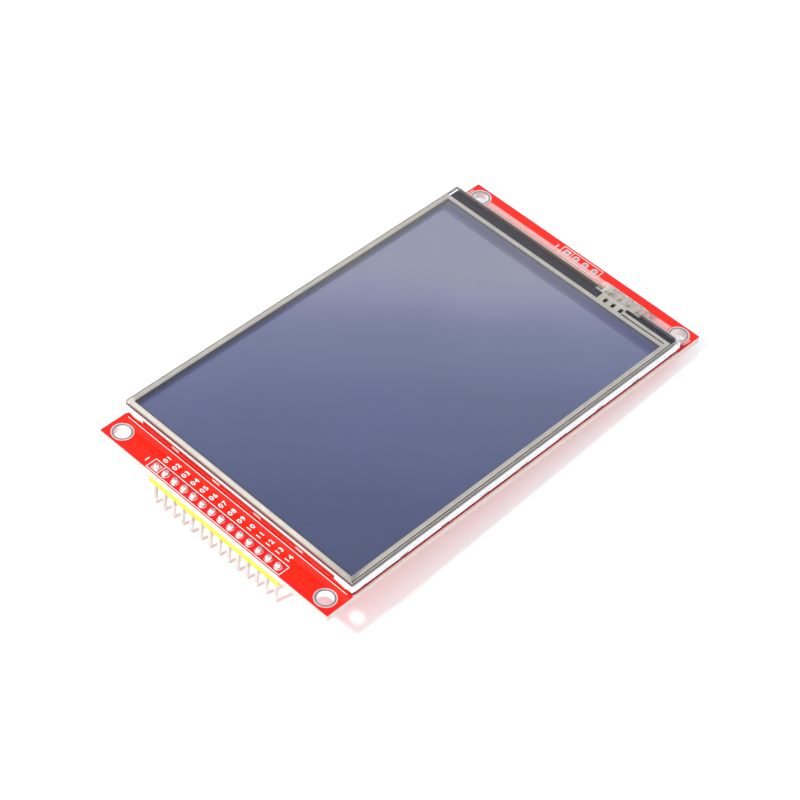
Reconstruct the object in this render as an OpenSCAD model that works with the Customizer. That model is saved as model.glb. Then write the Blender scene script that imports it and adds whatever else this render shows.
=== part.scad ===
// Colour display module: a circuit board that carries a backlit liquid-crystal
// panel with a resistive touch screen, a pin header and a memory-card socket.
// Origin: centre of the four mounting holes, on the underside of the board.
// +Z points out of the screen, +Y away from the pin header.

/* [Display frame] */
// Width of the white frame that holds the panel
frame_w = 61.3; // [54:0.02:80]
// Length of the white frame
frame_l = 94.9; // [80:0.1:130]
// Width of the frame's rim beside the backlight sheets
frame_rim = 1.45; // [1.1:0.05:2.5]
// Width of the frame's thin rim beside the panel glass
frame_lip = 0.5; // [0.4:0.05:0.9]
// How far the frame stands proud of the steel tray's walls
frame_reveal = 0.06; // [0.02:0.01:0.2]

/* [Steel tray] */
// Sheet thickness of the folded steel tray
steel_t = 0.2; // [0.1:0.05:0.3]
// Height of the tray's walls, from its underside
tray_wall_h = 1.6; // [1.4:0.05:2]
// Height of the walls near the corners
tray_low_h = 0.7; // [0.5:0.05:1]
// Length of the low stretch at each corner
tray_low_l = 4.7; // [2.5:0.1:8]
// Opening cut out of each corner, where two walls would meet
tray_corner_gap = 0.7; // [0.5:0.1:1.5]
// Number of latch windows in each short wall
latches_short = 6; // [2:1:8]
// Number of latch windows in each long wall
latches_long = 9; // [2:1:12]
// Distance from a wall's end to the middle of its last window
latch_inset = 2.6; // [2.2:0.1:8]
// Length of a latch window
latch_w = 2; // [1.2:0.1:3]
// Height of a latch window
latch_h = 0.6; // [0.4:0.05:0.7]

/* [Layer thicknesses] */
// Thickness of the foam tape between the board and the tray
foam_t = 0.3; // [0.25:0.05:0.8]
// Width of each strip of foam tape
foam_w = 3.6; // [1.5:0.1:3.6]
// Thickness of the white reflector sheet
reflector_t = 0.1; // [0.05:0.05:0.2]
// Thickness of the light guide
guide_t = 0.5; // [0.4:0.05:0.8]
// Thickness of the diffuser sheet
diffuser_t = 0.1; // [0.05:0.05:0.2]
// Thickness of the prism sheet
prism_t = 0.1; // [0.05:0.05:0.2]
// Thickness of the black shading tape
shade_t = 0.05; // [0.03:0.01:0.1]
// Thickness of the rear polarizer
rear_polarizer_t = 0.15; // [0.1:0.05:0.25]
// Thickness of each sheet of panel glass
panel_glass_t = 0.5; // [0.4:0.05:0.7]
// Thickness of the front polarizer
front_polarizer_t = 0.2; // [0.1:0.05:0.3]
// Thickness of the black gasket under the touch screen
gasket_t = 0.4; // [0.2:0.05:0.8]
// Thickness of the touch screen's glass
touch_glass_t = 0.9; // [0.5:0.05:1.5]
// Thickness of the printed silver conductors
silver_t = 0.05; // [0.02:0.01:0.06]
// Thickness of the touch screen's top film
touch_film_t = 0.15; // [0.1:0.05:0.25]

/* [Panel and touch screen] */
// Gap between the touch glass and the frame's edge, along the sides
touch_side_gap = 0.05; // [0.05:0.01:0.4]
// How far the touch glass overhangs the frame at the header end
touch_near_over = 0.28; // [0.1:0.01:0.4]
// Gap between the touch glass and the frame's edge, at the flex end
touch_far_gap = 1; // [1:0.05:2.5]
// Clear margin outside the silver border, along the sides
silver_side = 0.3; // [0.05:0.01:0.4]
// Clear margin outside the silver border, at the ends
silver_end = 0.15; // [0.05:0.01:0.4]
// Width of the silver border
silver_w = 0.95; // [0.6:0.05:1.5]
// Depth of the band between the silver cross line and the far edge
terminal_band = 4.35; // [3.4:0.05:5]
// Depth of the panel's bare ledge, which carries the driver chip
ledge_d = 3.1; // [2.9:0.05:4]
// Gap between the panel glass and the frame
glass_gap = 0.14; // [0.05:0.01:0.3]
// Gap between the panel glass and the frame, at the flex end
glass_far_gap = 0.56; // [0.3:0.02:1]

/* [Flexible circuits] */
// Width of the panel's orange flexible circuit
flex_w = 30.4; // [20:0.2:34]
// Place of its centre line across the module
flex_x = -6.8; // [-8:0.1:-5]
// Thickness of the panel's flexible circuit
flex_t = 0.12; // [0.08:0.01:0.15]
// Width of the touch screen's clear flexible tail
tail_w = 11.4; // [10.4:0.2:12]
// Gap between the two flexible circuits
tail_gap = 1.2; // [0.6:0.1:3]
// Thickness of the tail
tail_t = 0.1; // [0.06:0.01:0.12]
// How far beyond the frame the panel's flexible circuit begins to turn down
flex_reach = 0.5; // [0.3:0.05:1.5]
// How far beyond the frame the tail begins to turn down
tail_reach = -0.2; // [-0.3:0.05:1]
// Length that lies under the tray
flex_under = 9; // [6:0.5:14]

/* [Board] */
// Width of bare board beside the display frame
board_side = 0.22; // [0.2:0.01:4]
// Length of bare board beyond the frame, at each end
board_end = 6.57; // [6.2:0.01:12]
// Thickness of the board
board_t = 1.6; // [0.8:0.1:2.4]
// Distance of the mounting holes from the long edges
hole_side = 3.27; // [2.6:0.01:4]
// Distance of the mounting holes from the short edges
hole_end = 2.82; // [2.5:0.01:3.4]
// Bore of the plated mounting holes
hole_d = 3.4; // [2.2:0.1:3.6]
// Outer diameter of the tinned ring round each mounting hole
ring_d = 4.6; // [4.2:0.1:5]
// Thickness of the plating, and of the lands on both faces
plating_t = 0.05; // [0.03:0.01:0.08]

/* [Pin header] */
// Number of pins
pins = 14; // [4:1:16]
// Distance between pins
pitch = 2.54; // [2:0.02:2.54]
// Distance of the pin row from the board's edge
pin_edge = 1.56; // [1.4:0.01:2]
// Side of a square pin
pin_side = 0.64; // [0.5:0.02:0.66]
// Height and width of the header's plastic strip
header_h = 2.14; // [1.8:0.02:3]
// Length of pin below the plastic
pin_below = 6.4; // [3:0.1:12]
// Length of pin above the board's top face
pin_above = 1.05; // [0.8:0.05:1.6]
// Bore of the plated pin holes
pin_hole_d = 1; // [0.96:0.02:1.2]
// Diameter of the land round each pin
pin_land_d = 1.7; // [1.5:0.05:1.9]

/* [Spare hole row] */
// Number of holes in the spare row at the far end
spare_holes = 4; // [2:1:8]
// Distance of the spare row from the board's far edge
spare_edge = 1.82; // [1.4:0.01:2.2]
// Bore of a spare hole
spare_hole_d = 0.9; // [0.6:0.05:1.1]
// Diameter of the land round each spare hole
spare_land_d = 1.5; // [1.3:0.05:1.8]

/* [Card socket] */
// Width of the card slot
card_w = 24.3; // [22:0.1:26]
// Height of the card slot
card_h = 2.25; // [2.15:0.05:2.6]
// Thickness of the plastic floor that carries the contacts
socket_floor = 0.4; // [0.35:0.05:0.6]
// Width of each plastic side rail
socket_rail = 1.6; // [1:0.1:2]
// Length of the socket
socket_l = 25; // [20:0.5:28]
// Depth of the plastic block behind the card
socket_back = 3; // [2:0.1:4]
// Sheet thickness of the socket's steel cover
cover_t = 0.2; // [0.15:0.05:0.3]
// Distance of the socket's mouth from the board's far edge
socket_edge = 5.7; // [4:0.1:9]
// Number of contacts
contacts = 9; // [7:1:9]
// Distance between contacts
contact_pitch = 2.5; // [2.2:0.1:2.6]

/* [Hidden] */

$fn = 48;
// Overlap used only to cut cleanly through a face.
cut = 1;

// Plan sizes that follow from the frame.
board_w = frame_w + 2 * board_side;
board_l = frame_l + 2 * board_end;
tray_w = frame_w - 2 * frame_reveal;
tray_l = frame_l - 2 * frame_reveal;
steel_fit = 0.03;
core_w = tray_w - 2 * steel_t - 2 * steel_fit;
core_l = tray_l - 2 * steel_t - 2 * steel_fit;
well_w = frame_w - 2 * frame_rim;
well_l = frame_l - 2 * frame_rim;
pocket_w = frame_w - 2 * frame_lip;
pocket_l = frame_l - 2 * frame_lip;

// Levels, from the board's underside upwards.
board_z = board_t;
land_z = board_z + plating_t;
tray_z = board_z + foam_t;
floor_z = tray_z + steel_t;
guide_z = floor_z + reflector_t;
diffuser_z = guide_z + guide_t;
prism_z = diffuser_z + diffuser_t;
shade_z = prism_z + prism_t;
rear_polarizer_z = shade_z + shade_t;
rear_glass_z = rear_polarizer_z + rear_polarizer_t;
front_glass_z = rear_glass_z + panel_glass_t;
front_polarizer_z = front_glass_z + panel_glass_t;
frame_top = front_polarizer_z + front_polarizer_t;
touch_z = frame_top + gasket_t;
silver_z = touch_z + touch_glass_t;
film_z = silver_z + silver_t;
tray_wall_top = tray_z + tray_wall_h;
tray_low_top = tray_z + tray_low_h;

// Sheets inside the frame.
sheet_gap = 0.1;
led_bay = 3.2;
sheet_w = well_w - 2 * sheet_gap;
sheet_near = -well_l / 2 + sheet_gap;
sheet_far = well_l / 2 - led_bay;
glass_w = pocket_w - 2 * glass_gap;
glass_near = -pocket_l / 2 + glass_gap;
glass_far = pocket_l / 2 - glass_far_gap;
ledge_near = glass_far - ledge_d;
polarizer_inset = 0.5;
shade_w = 1.6;

// Touch screen.
touch_w = frame_w - 2 * touch_side_gap;
touch_near = -frame_l / 2 - touch_near_over;
touch_far = frame_l / 2 - touch_far_gap;
touch_chamfer = 0.8;
silver_out_w = touch_w - 2 * silver_side;
silver_near = touch_near + silver_end;
window_w = silver_out_w - 2 * silver_w;
window_near = silver_near + silver_w;
window_far = touch_far - terminal_band;
cross_far = window_far + silver_w;
conductor_gap = 0.35;
feed_w = 0.8;
gasket_in = 0.35;
gasket_far_in = 0.05;

// Flexible circuits: both turn round the frame's far end and come back under it.
tail_x = flex_x + flex_w / 2 + tail_gap + tail_w / 2;
flex_turn_y = frame_l / 2 + flex_reach;
tail_turn_y = frame_l / 2 + tail_reach;
flex_bond = 1.1;
flex_top_z = front_glass_z;
tail_top_z = film_z;
under_z = land_z;

// Board features.
hole_x = board_w / 2 - hole_side;
hole_y = board_l / 2 - hole_end;
pin_y = -board_l / 2 + pin_edge;
spare_y = board_l / 2 - spare_edge;
header_z = -plating_t;
pin_bottom = header_z - header_h - pin_below;
pin_top = board_z + pin_above;
flex_land_y = frame_l / 2 - flex_under;

// Card socket, on the underside of the board.
socket_front = board_l / 2 - socket_edge;
socket_w = card_w + 2 * socket_rail;
socket_slot_z = header_z - socket_floor;
socket_cover_z = socket_slot_z - card_h;

// ---------------------------------------------------------------- helpers

// A slab by its lowest corner and its size.
module slab(x0, x1, y0, y1, z0, z1) {
    translate([x0, y0, z0]) cube([x1 - x0, y1 - y0, z1 - z0]);
}

// A slab centred across the module.
module sheet(w, y0, y1, z0, t) {
    slab(-w / 2, w / 2, y0, y1, z0, z0 + t);
}

module mounting_places() {
    for (sx = [-1, 1], sy = [-1, 1]) translate([sx * hole_x, sy * hole_y, 0]) children();
}

module row_places(count, y, step) {
    for (i = [0 : count - 1]) translate([(i - (count - 1) / 2) * step, y, 0]) children();
}

module through_bore(d) {
    translate([0, 0, -cut]) cylinder(d = d, h = board_t + 2 * cut);
}

// A plated hole: a land on each face joined by the plating of its barrel.
module plated_hole(bore, land, square_land = false) {
    difference() {
        union() {
            cylinder(d = bore + 2 * plating_t, h = board_t);
            for (z = [-plating_t, board_t])
                translate([0, 0, z])
                    if (square_land) translate([-land / 2, -land / 2, 0]) cube([land, land, plating_t]);
                    else cylinder(d = land, h = plating_t);
        }
        through_bore(bore);
    }
}

// Extrudes a side view drawn in (y, z) across the module, centred on x.
module across(w, x = 0) {
    translate([x - w / 2, 0, 0]) rotate([90, 0, 90]) linear_extrude(w) children();
}

// Extrudes an end view drawn in (x, z) along the module, centred on y.
module along(l, y = 0) {
    translate([0, y + l / 2, 0]) rotate([90, 0, 0]) linear_extrude(l) children();
}

// ------------------------------------------------------------------ board

module board() {
    color("#e8291c") difference() {
        sheet(board_w, -board_l / 2, board_l / 2, 0, board_t);
        mounting_places() through_bore(hole_d + 2 * plating_t);
        row_places(pins, pin_y, pitch) through_bore(pin_hole_d + 2 * plating_t);
        row_places(spare_holes, spare_y, pitch) through_bore(spare_hole_d + 2 * plating_t);
    }
}

module mounting_rings() {
    color("#d8d8d4") mounting_places() plated_hole(hole_d, ring_d);
}

// The first land of each row is square, to mark it.
module land_row(count, y, bore, land) {
    for (i = [0 : count - 1])
        translate([(i - (count - 1) / 2) * pitch, y, 0])
            plated_hole(bore, land, square_land = i == 0);
}

module pin_lands() {
    color("#d0d0cc") land_row(pins, pin_y, pin_hole_d, pin_land_d);
}

module spare_lands() {
    color("#d0d0cc") land_row(spare_holes, spare_y, spare_hole_d, spare_land_d);
}

// Lands under the display, where the two flexible circuits are soldered.
flex_land_pitch = 0.9;
flex_land_w = 0.5;
flex_land_l = 1.8;
tail_land_pitch = 2.4;
module flex_lands() {
    flex_lands_count = floor((flex_w - 1) / flex_land_pitch);
    color("#d9b25a") {
        translate([flex_x, 0, board_z])
            row_places(flex_lands_count, flex_land_y, flex_land_pitch)
                translate([-flex_land_w / 2, 0, 0]) cube([flex_land_w, flex_land_l, plating_t]);
        translate([tail_x, 0, board_z])
            row_places(4, flex_land_y, tail_land_pitch)
                translate([-flex_land_w, 0, 0]) cube([2 * flex_land_w, flex_land_l, plating_t]);
    }
}

// ----------------------------------------------------------------- header

// One break-off block of the strip: a square with its corners cut back.
header_notch = 0.3;
module header_block() {
    s = pitch / 2;
    d = header_h / 2;
    n = header_notch;
    polygon([[-s, -d + n], [-s + n, -d], [s - n, -d], [s, -d + n],
             [s, d - n], [s - n, d], [-s + n, d], [-s, d - n]]);
}

module header_strip() {
    color("#f7e51f") difference() {
        translate([0, 0, header_z - header_h]) linear_extrude(header_h)
            row_places(pins, pin_y, pitch) header_block();
        row_places(pins, pin_y, pitch) pin_blank();
    }
}

// A plain square bar on the pin's line, used to cut its way.
module pin_blank() {
    slab(-pin_side / 2, pin_side / 2, -pin_side / 2, pin_side / 2, pin_bottom - cut, pin_top + cut);
}

// Side view of a pin with both ends bevelled.
pin_bevel = 0.2;
pin_taper = 0.45;
module pin_outline() {
    s = pin_side / 2;
    polygon([[-s, pin_bottom + pin_taper], [-s + pin_bevel, pin_bottom],
             [s - pin_bevel, pin_bottom], [s, pin_bottom + pin_taper],
             [s, pin_top - pin_bevel], [s - pin_bevel / 2, pin_top],
             [-s + pin_bevel / 2, pin_top], [-s, pin_top - pin_bevel]]);
}

module header_pin() {
    intersection() {
        across(pin_side) pin_outline();
        along(pin_side) pin_outline();
    }
}

module header_pins() {
    color("#d9cfae") row_places(pins, pin_y, pitch) header_pin();
}

// Solder that fills the plated hole and climbs the pin in a hollow curve.
joint_steps = 7;
joint_top_r = 0.48;
joint_h = 0.86 * pin_above;
function joint_curve(r0, r1, z0, h) =
    [for (i = [0 : joint_steps]) let (a = 90 * i / joint_steps)
        [r1 + (r0 - r1) * (1 - sin(a)), z0 + h * (1 - cos(a))]];

module solder_joint() {
    foot_r = pin_land_d / 2 - 0.04;
    difference() {
        rotate_extrude() polygon(concat(
            [[0, 0], [pin_hole_d / 2, 0], [pin_hole_d / 2, land_z]],
            joint_curve(foot_r, joint_top_r, land_z, joint_h),
            [[0, land_z + joint_h]]));
        pin_blank();
    }
}

module solder_joints() {
    color("#c9c9c6") row_places(pins, pin_y, pitch) solder_joint();
}

// ------------------------------------------------------ tray and frame

// Two strips of foam tape hold the tray down, one along each side.
foam_inset = 1.1;
foam_ear = 0.8;
module foam_tape() {
    side = tray_w / 2 - foam_inset;
    end = tray_l / 2 - foam_inset;
    color("#2b2b2b") {
        slab(-side, -side + foam_w, -end, end, board_z, tray_z);
        slab(side - foam_w, side, -end, end, board_z, tray_z);
        for (mx = [0, 1], my = [0, 1]) mirror([mx, 0, 0]) mirror([0, my, 0])
            slab(side - foam_ear, side + foam_ear, end - foam_ear, end + foam_ear, board_z, tray_z);
    }
}

// Cross-section of a folded tray, with round bends along its lower edges.
bend_r = 0.35;
module tub_section(w, h, r) {
    translate([-w / 2 + r, 0]) square([w - 2 * r, h]);
    translate([-w / 2, r]) square([w, h - r]);
    for (s = [-1, 1]) translate([s * (w / 2 - r), r]) circle(r);
}

module tub(w, l, h, r) {
    intersection() {
        along(l) tub_section(w, h, r);
        across(w) tub_section(l, h, r);
    }
}

// A row of latches along one wall, which stands at the given reach along +Y.
latch_z = floor_z + 0.12;
module latch_row(count, wall, reach) {
    step = (wall - 2 * latch_inset) / (count - 1);
    translate([0, 0, latch_z]) row_places(count, reach, step) children();
}

// Places the children at every latch, each facing outwards along its own +Y.
module latch_places() {
    for (turn = [0, 180]) {
        rotate([0, 0, turn]) latch_row(latches_short, tray_w, tray_l / 2) children();
        rotate([0, 0, turn + 90]) latch_row(latches_long, tray_l, tray_w / 2) children();
    }
}

// Places the children at the small notch at each side of a corner, facing outwards along +Y.
corner_tab_in = 2.1;
corner_tab_w = 1.1;
module corner_tab_places() {
    for (turn = [0, 180], s = [-1, 1]) {
        rotate([0, 0, turn])
            translate([s * (frame_w / 2 - corner_tab_in), tray_l / 2, latch_z]) children();
        rotate([0, 0, turn + 90])
            translate([s * (frame_l / 2 - corner_tab_in), tray_w / 2, latch_z]) children();
    }
}

// Square blocks over the four corners, a little oversize outwards.
module corner_blocks(size, z0, z1) {
    for (mx = [0, 1], my = [0, 1]) mirror([mx, 0, 0]) mirror([0, my, 0])
        slab(frame_w / 2 - size, frame_w / 2 + cut, frame_l / 2 - size, frame_l / 2 + cut, z0, z1);
}

// The slot in the far side that lets the panel's flexible circuit out.
flex_slot_gap = 0.5;
module flex_slot(z0) {
    slab(flex_x - flex_w / 2 - flex_slot_gap, flex_x + flex_w / 2 + flex_slot_gap,
         well_l / 2, frame_l / 2 + cut, z0, frame_top + cut);
}

module steel_tray() {
    color("#c4c6c8") difference() {
        translate([0, 0, tray_z]) tub(tray_w, tray_l, tray_wall_h, bend_r);
        translate([0, 0, floor_z])
            tub(tray_w - 2 * steel_t, tray_l - 2 * steel_t, tray_wall_h, max(bend_r - steel_t, 0.05));
        corner_blocks(tray_low_l, tray_low_top, tray_wall_top + cut);
        flex_slot(tray_low_top);
        corner_blocks(tray_corner_gap, tray_z - cut, tray_wall_top + cut);
        latch_places() slab(-latch_w / 2, latch_w / 2, -steel_t - cut / 4, cut, 0, latch_h);
        corner_tab_places()
            slab(-corner_tab_w / 2, corner_tab_w / 2, -steel_t - cut / 4, cut, 0, tray_low_h);
    }
}

// A latch of the moulded frame: a wedge that fills its window, thicker at the top.
latch_fit = 0.06;
latch_root = 0.3;
module latch() {
    reach = steel_t + steel_fit;
    root = -reach - latch_root;
    across(latch_w - 2 * latch_fit) polygon([[root, latch_fit], [-reach * 0.45, latch_fit],
        [0, latch_h * 0.6], [0, latch_h - latch_fit], [root, latch_h - latch_fit]]);
}

// A tab of the moulded frame that fills a notch in a low stretch of the wall.
module corner_tab() {
    half = corner_tab_w / 2 - latch_fit;
    slab(-half, half, -steel_t - steel_fit - latch_root, 0, latch_fit, tray_low_top - latch_z + latch_fit);
}

module light_frame() {
    color("#f4f4f2") {
        difference() {
            union() {
                translate([0, 0, floor_z]) tub(core_w, core_l, frame_top - floor_z, bend_r);
                sheet(frame_w, -frame_l / 2, frame_l / 2, tray_wall_top, frame_top - tray_wall_top);
                intersection() {
                    sheet(frame_w, -frame_l / 2, frame_l / 2, tray_low_top, frame_top - tray_low_top);
                    corner_blocks(tray_low_l - steel_fit, tray_low_top, frame_top);
                }
            }
            sheet(well_w, -well_l / 2, well_l / 2, floor_z - cut, shade_z - floor_z + 2 * cut);
            sheet(pocket_w, -pocket_l / 2, pocket_l / 2, shade_z, frame_top - shade_z + cut);
            flex_slot(rear_glass_z);
        }
        latch_places() latch();
        corner_tab_places() corner_tab();
    }
}

// --------------------------------------------------- sheets and panel

module reflector_sheet() {
    color("#fafafa") sheet(sheet_w, sheet_near, sheet_far + led_d, floor_z, reflector_t);
}

module light_guide() {
    color("#e4f0f2") sheet(sheet_w, sheet_near, sheet_far, guide_z, guide_t);
}

module diffuser_sheet() {
    color("#f2f2ee") sheet(sheet_w, sheet_near, sheet_far, diffuser_z, diffuser_t);
}

// The prism sheet's far edge ends short of the light bar.
module prism_sheet() {
    color("#e8ecef") sheet(sheet_w, sheet_near, sheet_far - 0.4, prism_z, prism_t);
}

// Light bar at the far end of the guide: side-firing diodes on a narrow strip.
led_count = 8;
led_w = 3;
led_d = 0.8;
led_h = 0.45;
led_flex_t = 0.08;
led_pitch = (sheet_w - led_w - 4) / (led_count - 1);
led_gap = 0.05;
led_flex_w = sheet_w - 2;
led_flex_step = 0.3;
module led_flex() {
    step_y = sheet_far + led_d;
    color("#c98a2b") {
        sheet(led_flex_w, step_y, well_l / 2 - sheet_gap, floor_z, led_flex_t);
        sheet(led_flex_w, sheet_far + led_gap, step_y, guide_z, led_flex_t);
        sheet(led_flex_w, step_y, step_y + led_flex_step, floor_z, reflector_t + led_flex_t);
    }
}

module leds() {
    led_z = guide_z + led_flex_t;
    color("#f3e9a0") row_places(led_count, sheet_far + led_gap, led_pitch)
        slab(-led_w / 2, led_w / 2, 0, led_d - led_gap, led_z, led_z + led_h);
}

module frame_band(w, near, far, inset, z0, t) {
    difference() {
        sheet(w, near, far, z0, t);
        sheet(w - 2 * inset, near + inset, far - inset, z0 - cut, t + 2 * cut);
    }
}

module shading_tape() {
    color("#151515")
        frame_band(glass_w, glass_near, sheet_far, shade_w, shade_z, shade_t);
}

module rear_polarizer() {
    color("#3a3d46")
        sheet(glass_w - 2 * polarizer_inset, glass_near + polarizer_inset, ledge_near - polarizer_inset,
              rear_polarizer_z, rear_polarizer_t);
}

module panel_rear_glass() {
    color("#9fb3b5") sheet(glass_w, glass_near, glass_far, rear_glass_z, panel_glass_t);
}

module panel_front_glass() {
    color("#46506a") sheet(glass_w, glass_near, ledge_near, front_glass_z, panel_glass_t);
}

module front_polarizer() {
    color("#5d647f")
        sheet(glass_w - 2 * polarizer_inset, glass_near + polarizer_inset, ledge_near - polarizer_inset,
              front_polarizer_z, front_polarizer_t);
}

chip_l = 21;
chip_d = 1;
chip_t = 0.3;
module driver_chip() {
    color("#20242c")
        sheet(chip_l, ledge_near + 0.4, ledge_near + 0.4 + chip_d, front_glass_z, chip_t);
}

// -------------------------------------------------- flexible circuits

// Side view of a flat ribbon, t thick, that leaves at y0 with its lower face at z1,
// turns down round a half circle whose centre is at turn_y and returns along z0 to y1.
module ribbon_view(t, y0, z1, turn_y, z0, y1) {
    r_out = (z1 + t - z0) / 2;
    translate([y0, z1]) square([turn_y - y0, t]);
    translate([y1, z0]) square([turn_y - y1, t]);
    translate([turn_y, z0 + r_out]) intersection() {
        difference() {
            circle(r_out);
            circle(r_out - t);
        }
        translate([0, -r_out]) square([r_out, 2 * r_out]);
    }
}

module panel_flex() {
    color("#e08a2a") across(flex_w, flex_x)
        ribbon_view(flex_t, glass_far - flex_bond, flex_top_z, flex_turn_y, under_z, flex_land_y);
}

tail_bond = 1.2;
module touch_tail() {
    color("#cfd0c6") across(tail_w, tail_x)
        ribbon_view(tail_t, touch_far - tail_bond, tail_top_z, tail_turn_y, under_z, flex_land_y);
}

// Four printed silver conductors on the outside of the tail.
tail_silver_w = 1.7;
tail_silver_t = 0.03;
module tail_conductors() {
    color("#bdbbb2") for (i = [0 : 3])
        across(tail_silver_w, tail_x + (i - 1.5) * tail_land_pitch)
            ribbon_view(tail_silver_t, touch_far - tail_bond, tail_top_z + tail_t,
                        tail_turn_y, under_z - tail_silver_t, tail_turn_y - 0.2);
}

// --------------------------------------------------------- touch screen

// Outline of the touch screen, with the corner above the tail cut off.
module touch_outline() {
    x = touch_w / 2;
    polygon([[-x, touch_near], [x, touch_near], [x, touch_far - touch_chamfer],
             [x - touch_chamfer, touch_far], [-x, touch_far]]);
}

module gasket() {
    gasket_w = touch_w - 2 * gasket_in;
    color("#1d1d20") translate([0, 0, frame_top]) linear_extrude(gasket_t) difference() {
        intersection() {
            touch_outline();
            translate([-gasket_w / 2, touch_near + gasket_in])
                square([gasket_w, touch_far - touch_near - gasket_in - gasket_far_in]);
        }
        translate([-window_w / 2 - silver_w / 3, window_near - silver_w / 3])
            square([window_w + 2 * silver_w / 3, cross_far - window_near]);
    }
}

module touch_glass() {
    color("#b9bdd0") translate([0, 0, touch_z]) linear_extrude(touch_glass_t) touch_outline();
}

// Printed silver: a border, a cross line, a feed line beside it and the tail's pads.
pad_window = [0.8, 1.3];
pad_window_x = 1.4;
pad_window_y = 0.1;
module touch_conductors() {
    out_x = silver_out_w / 2;
    pads_x0 = tail_x - 1.5 * tail_land_pitch - 0.2;
    pads_x1 = tail_x + 1.15 * tail_land_pitch;
    feed_y = cross_far + conductor_gap;
    color("#c5c2b8") translate([0, 0, silver_z]) linear_extrude(silver_t) difference() {
        union() {
            difference() {
                translate([-out_x, silver_near]) square([silver_out_w, cross_far - silver_near]);
                translate([-window_w / 2, window_near]) square([window_w, window_far - window_near]);
            }
            translate([pads_x0, cross_far])
                square([pads_x1 - pads_x0, touch_far - silver_end - cross_far]);
            translate([pads_x1, feed_y]) square([out_x - pads_x1, feed_w]);
            translate([out_x - silver_w, window_far]) square([silver_w, feed_y + feed_w - window_far]);
        }
        for (i = [0 : 2])
            translate([pads_x0 + pad_window_x + i * (pads_x1 - pads_x0) / 3.2, cross_far + pad_window_y])
                square(pad_window);
    }
}

// Where the tail is bonded, the film is cut back to make room for it.
module touch_film() {
    color("#c8ccd6") translate([0, 0, film_z]) linear_extrude(touch_film_t) difference() {
        touch_outline();
        translate([tail_x - tail_w / 2 - 0.2, touch_far - tail_bond - 0.1])
            square([tail_w + 0.4, tail_bond + cut]);
    }
}

// --------------------------------------------------------- card socket

function contact_x(i) = (i - (contacts - 1) / 2) * contact_pitch;
socket_rear = socket_front - socket_l;
contact_w = 0.8;
contact_slot_w = 1.1;
contact_t = 0.15;
contact_run = 8;
contact_end = socket_rear + socket_back + contact_run - 1;
contact_clear = 0.4;
floor_ledge = 3;
floor_opening_w = card_w - 2 * floor_ledge;

// The base is open below for the card, and its floor is cut out round the contacts.
module socket_base() {
    color("#26262a") difference() {
        slab(-socket_w / 2, socket_w / 2, socket_rear, socket_front, socket_cover_z, header_z);
        slab(-card_w / 2, card_w / 2, socket_rear + socket_back, socket_front + cut,
             socket_cover_z - cut, socket_slot_z);
        for (i = [0 : contacts - 1])
            translate([contact_x(i), 0, 0])
                slab(-contact_slot_w / 2, contact_slot_w / 2, socket_rear - cut,
                     contact_end + contact_clear, socket_slot_z - cut / 2, header_z + cut);
        slab(-floor_opening_w / 2, floor_opening_w / 2, socket_rear + socket_back + contact_run,
             socket_front + cut, socket_slot_z - cut, header_z + cut);
    }
}

// The cover wraps the base on three sides; its mouth has a wide finger notch.
notch_w = 13;
notch_d = 4;
mouth_setback = 0.4;
tongue_w = 2.2;
tongue_l = 6;
tongue_inset = 4;
tongue_x = card_w / 2 - tongue_inset;
tongue_start = 7;
tongue_y = socket_rear + tongue_start;
slit_w = 0.4;
catch_l = 2.5;
catch_h = 0.9;
catch_rise = 0.5;
catch_z = socket_cover_z + catch_rise;
catch_near = 2.5;
catch_far = 8;
catch_ys = [socket_rear + catch_near, socket_front - catch_far];
module socket_cover() {
    outer_w = socket_w + 2 * cover_t;
    skin_z = socket_cover_z - cover_t;
    color("#c8cacc") difference() {
        slab(-outer_w / 2, outer_w / 2, socket_rear, socket_front - mouth_setback, skin_z, header_z);
        slab(-socket_w / 2, socket_w / 2, socket_rear - cut, socket_front + cut,
             socket_cover_z, header_z + cut);
        slab(-notch_w / 2, notch_w / 2, socket_front - notch_d, socket_front + cut,
             skin_z - cut, socket_cover_z + cut);
        for (s = [-1, 1]) translate([s * tongue_x, tongue_y, 0]) tongue_slits();
        for (s = [-1, 1], y = catch_ys) translate([s * outer_w / 2, y, 0])
            slab(-cover_t - 0.05, cover_t + 0.05, 0, catch_l, catch_z, catch_z + catch_h);
    }
}

// A spring tongue left by a U-shaped slit.
module tongue_slits() {
    for (s = [-1, 1]) translate([s * (tongue_w + slit_w) / 2, 0, 0])
        slab(-slit_w / 2, slit_w / 2, 0, tongue_l, socket_cover_z - cover_t - cut, socket_cover_z + cut);
    slab(-tongue_w / 2 - slit_w, tongue_w / 2 + slit_w, tongue_l - slit_w, tongue_l,
         socket_cover_z - cover_t - cut, socket_cover_z + cut);
}

// Side view of a contact: solder tail, straight run in the floor, raised spring.
contact_tail = 1.1;
contact_rise = socket_floor + 0.7;
contact_ramp = 3.6;
contact_tip = 0.9;
module socket_contacts() {
    start = socket_rear - contact_tail;
    z = header_z;
    tip_z = z - contact_rise * 0.55;
    color("#d7b14a") for (i = [0 : contacts - 1])
        across(contact_w, contact_x(i)) polygon([
            [start, z], [contact_end - contact_ramp, z],
            [contact_end - contact_tip, z - contact_rise + contact_t],
            [contact_end, tip_z], [contact_end, tip_z - contact_t],
            [contact_end - contact_tip, z - contact_rise],
            [contact_end - contact_ramp - 0.1, z - contact_t], [start, z - contact_t]]);
}

// ---------------------------------------------------- chips underneath

chip_z = -plating_t;

// The chips stand in two groups: behind the pin header and behind the card socket.
module behind_header(at) {
    translate([at[0], pin_y + at[1], 0]) children();
}

module behind_socket(at) {
    translate([at[0], socket_rear - at[1], 0]) children();
}

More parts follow.
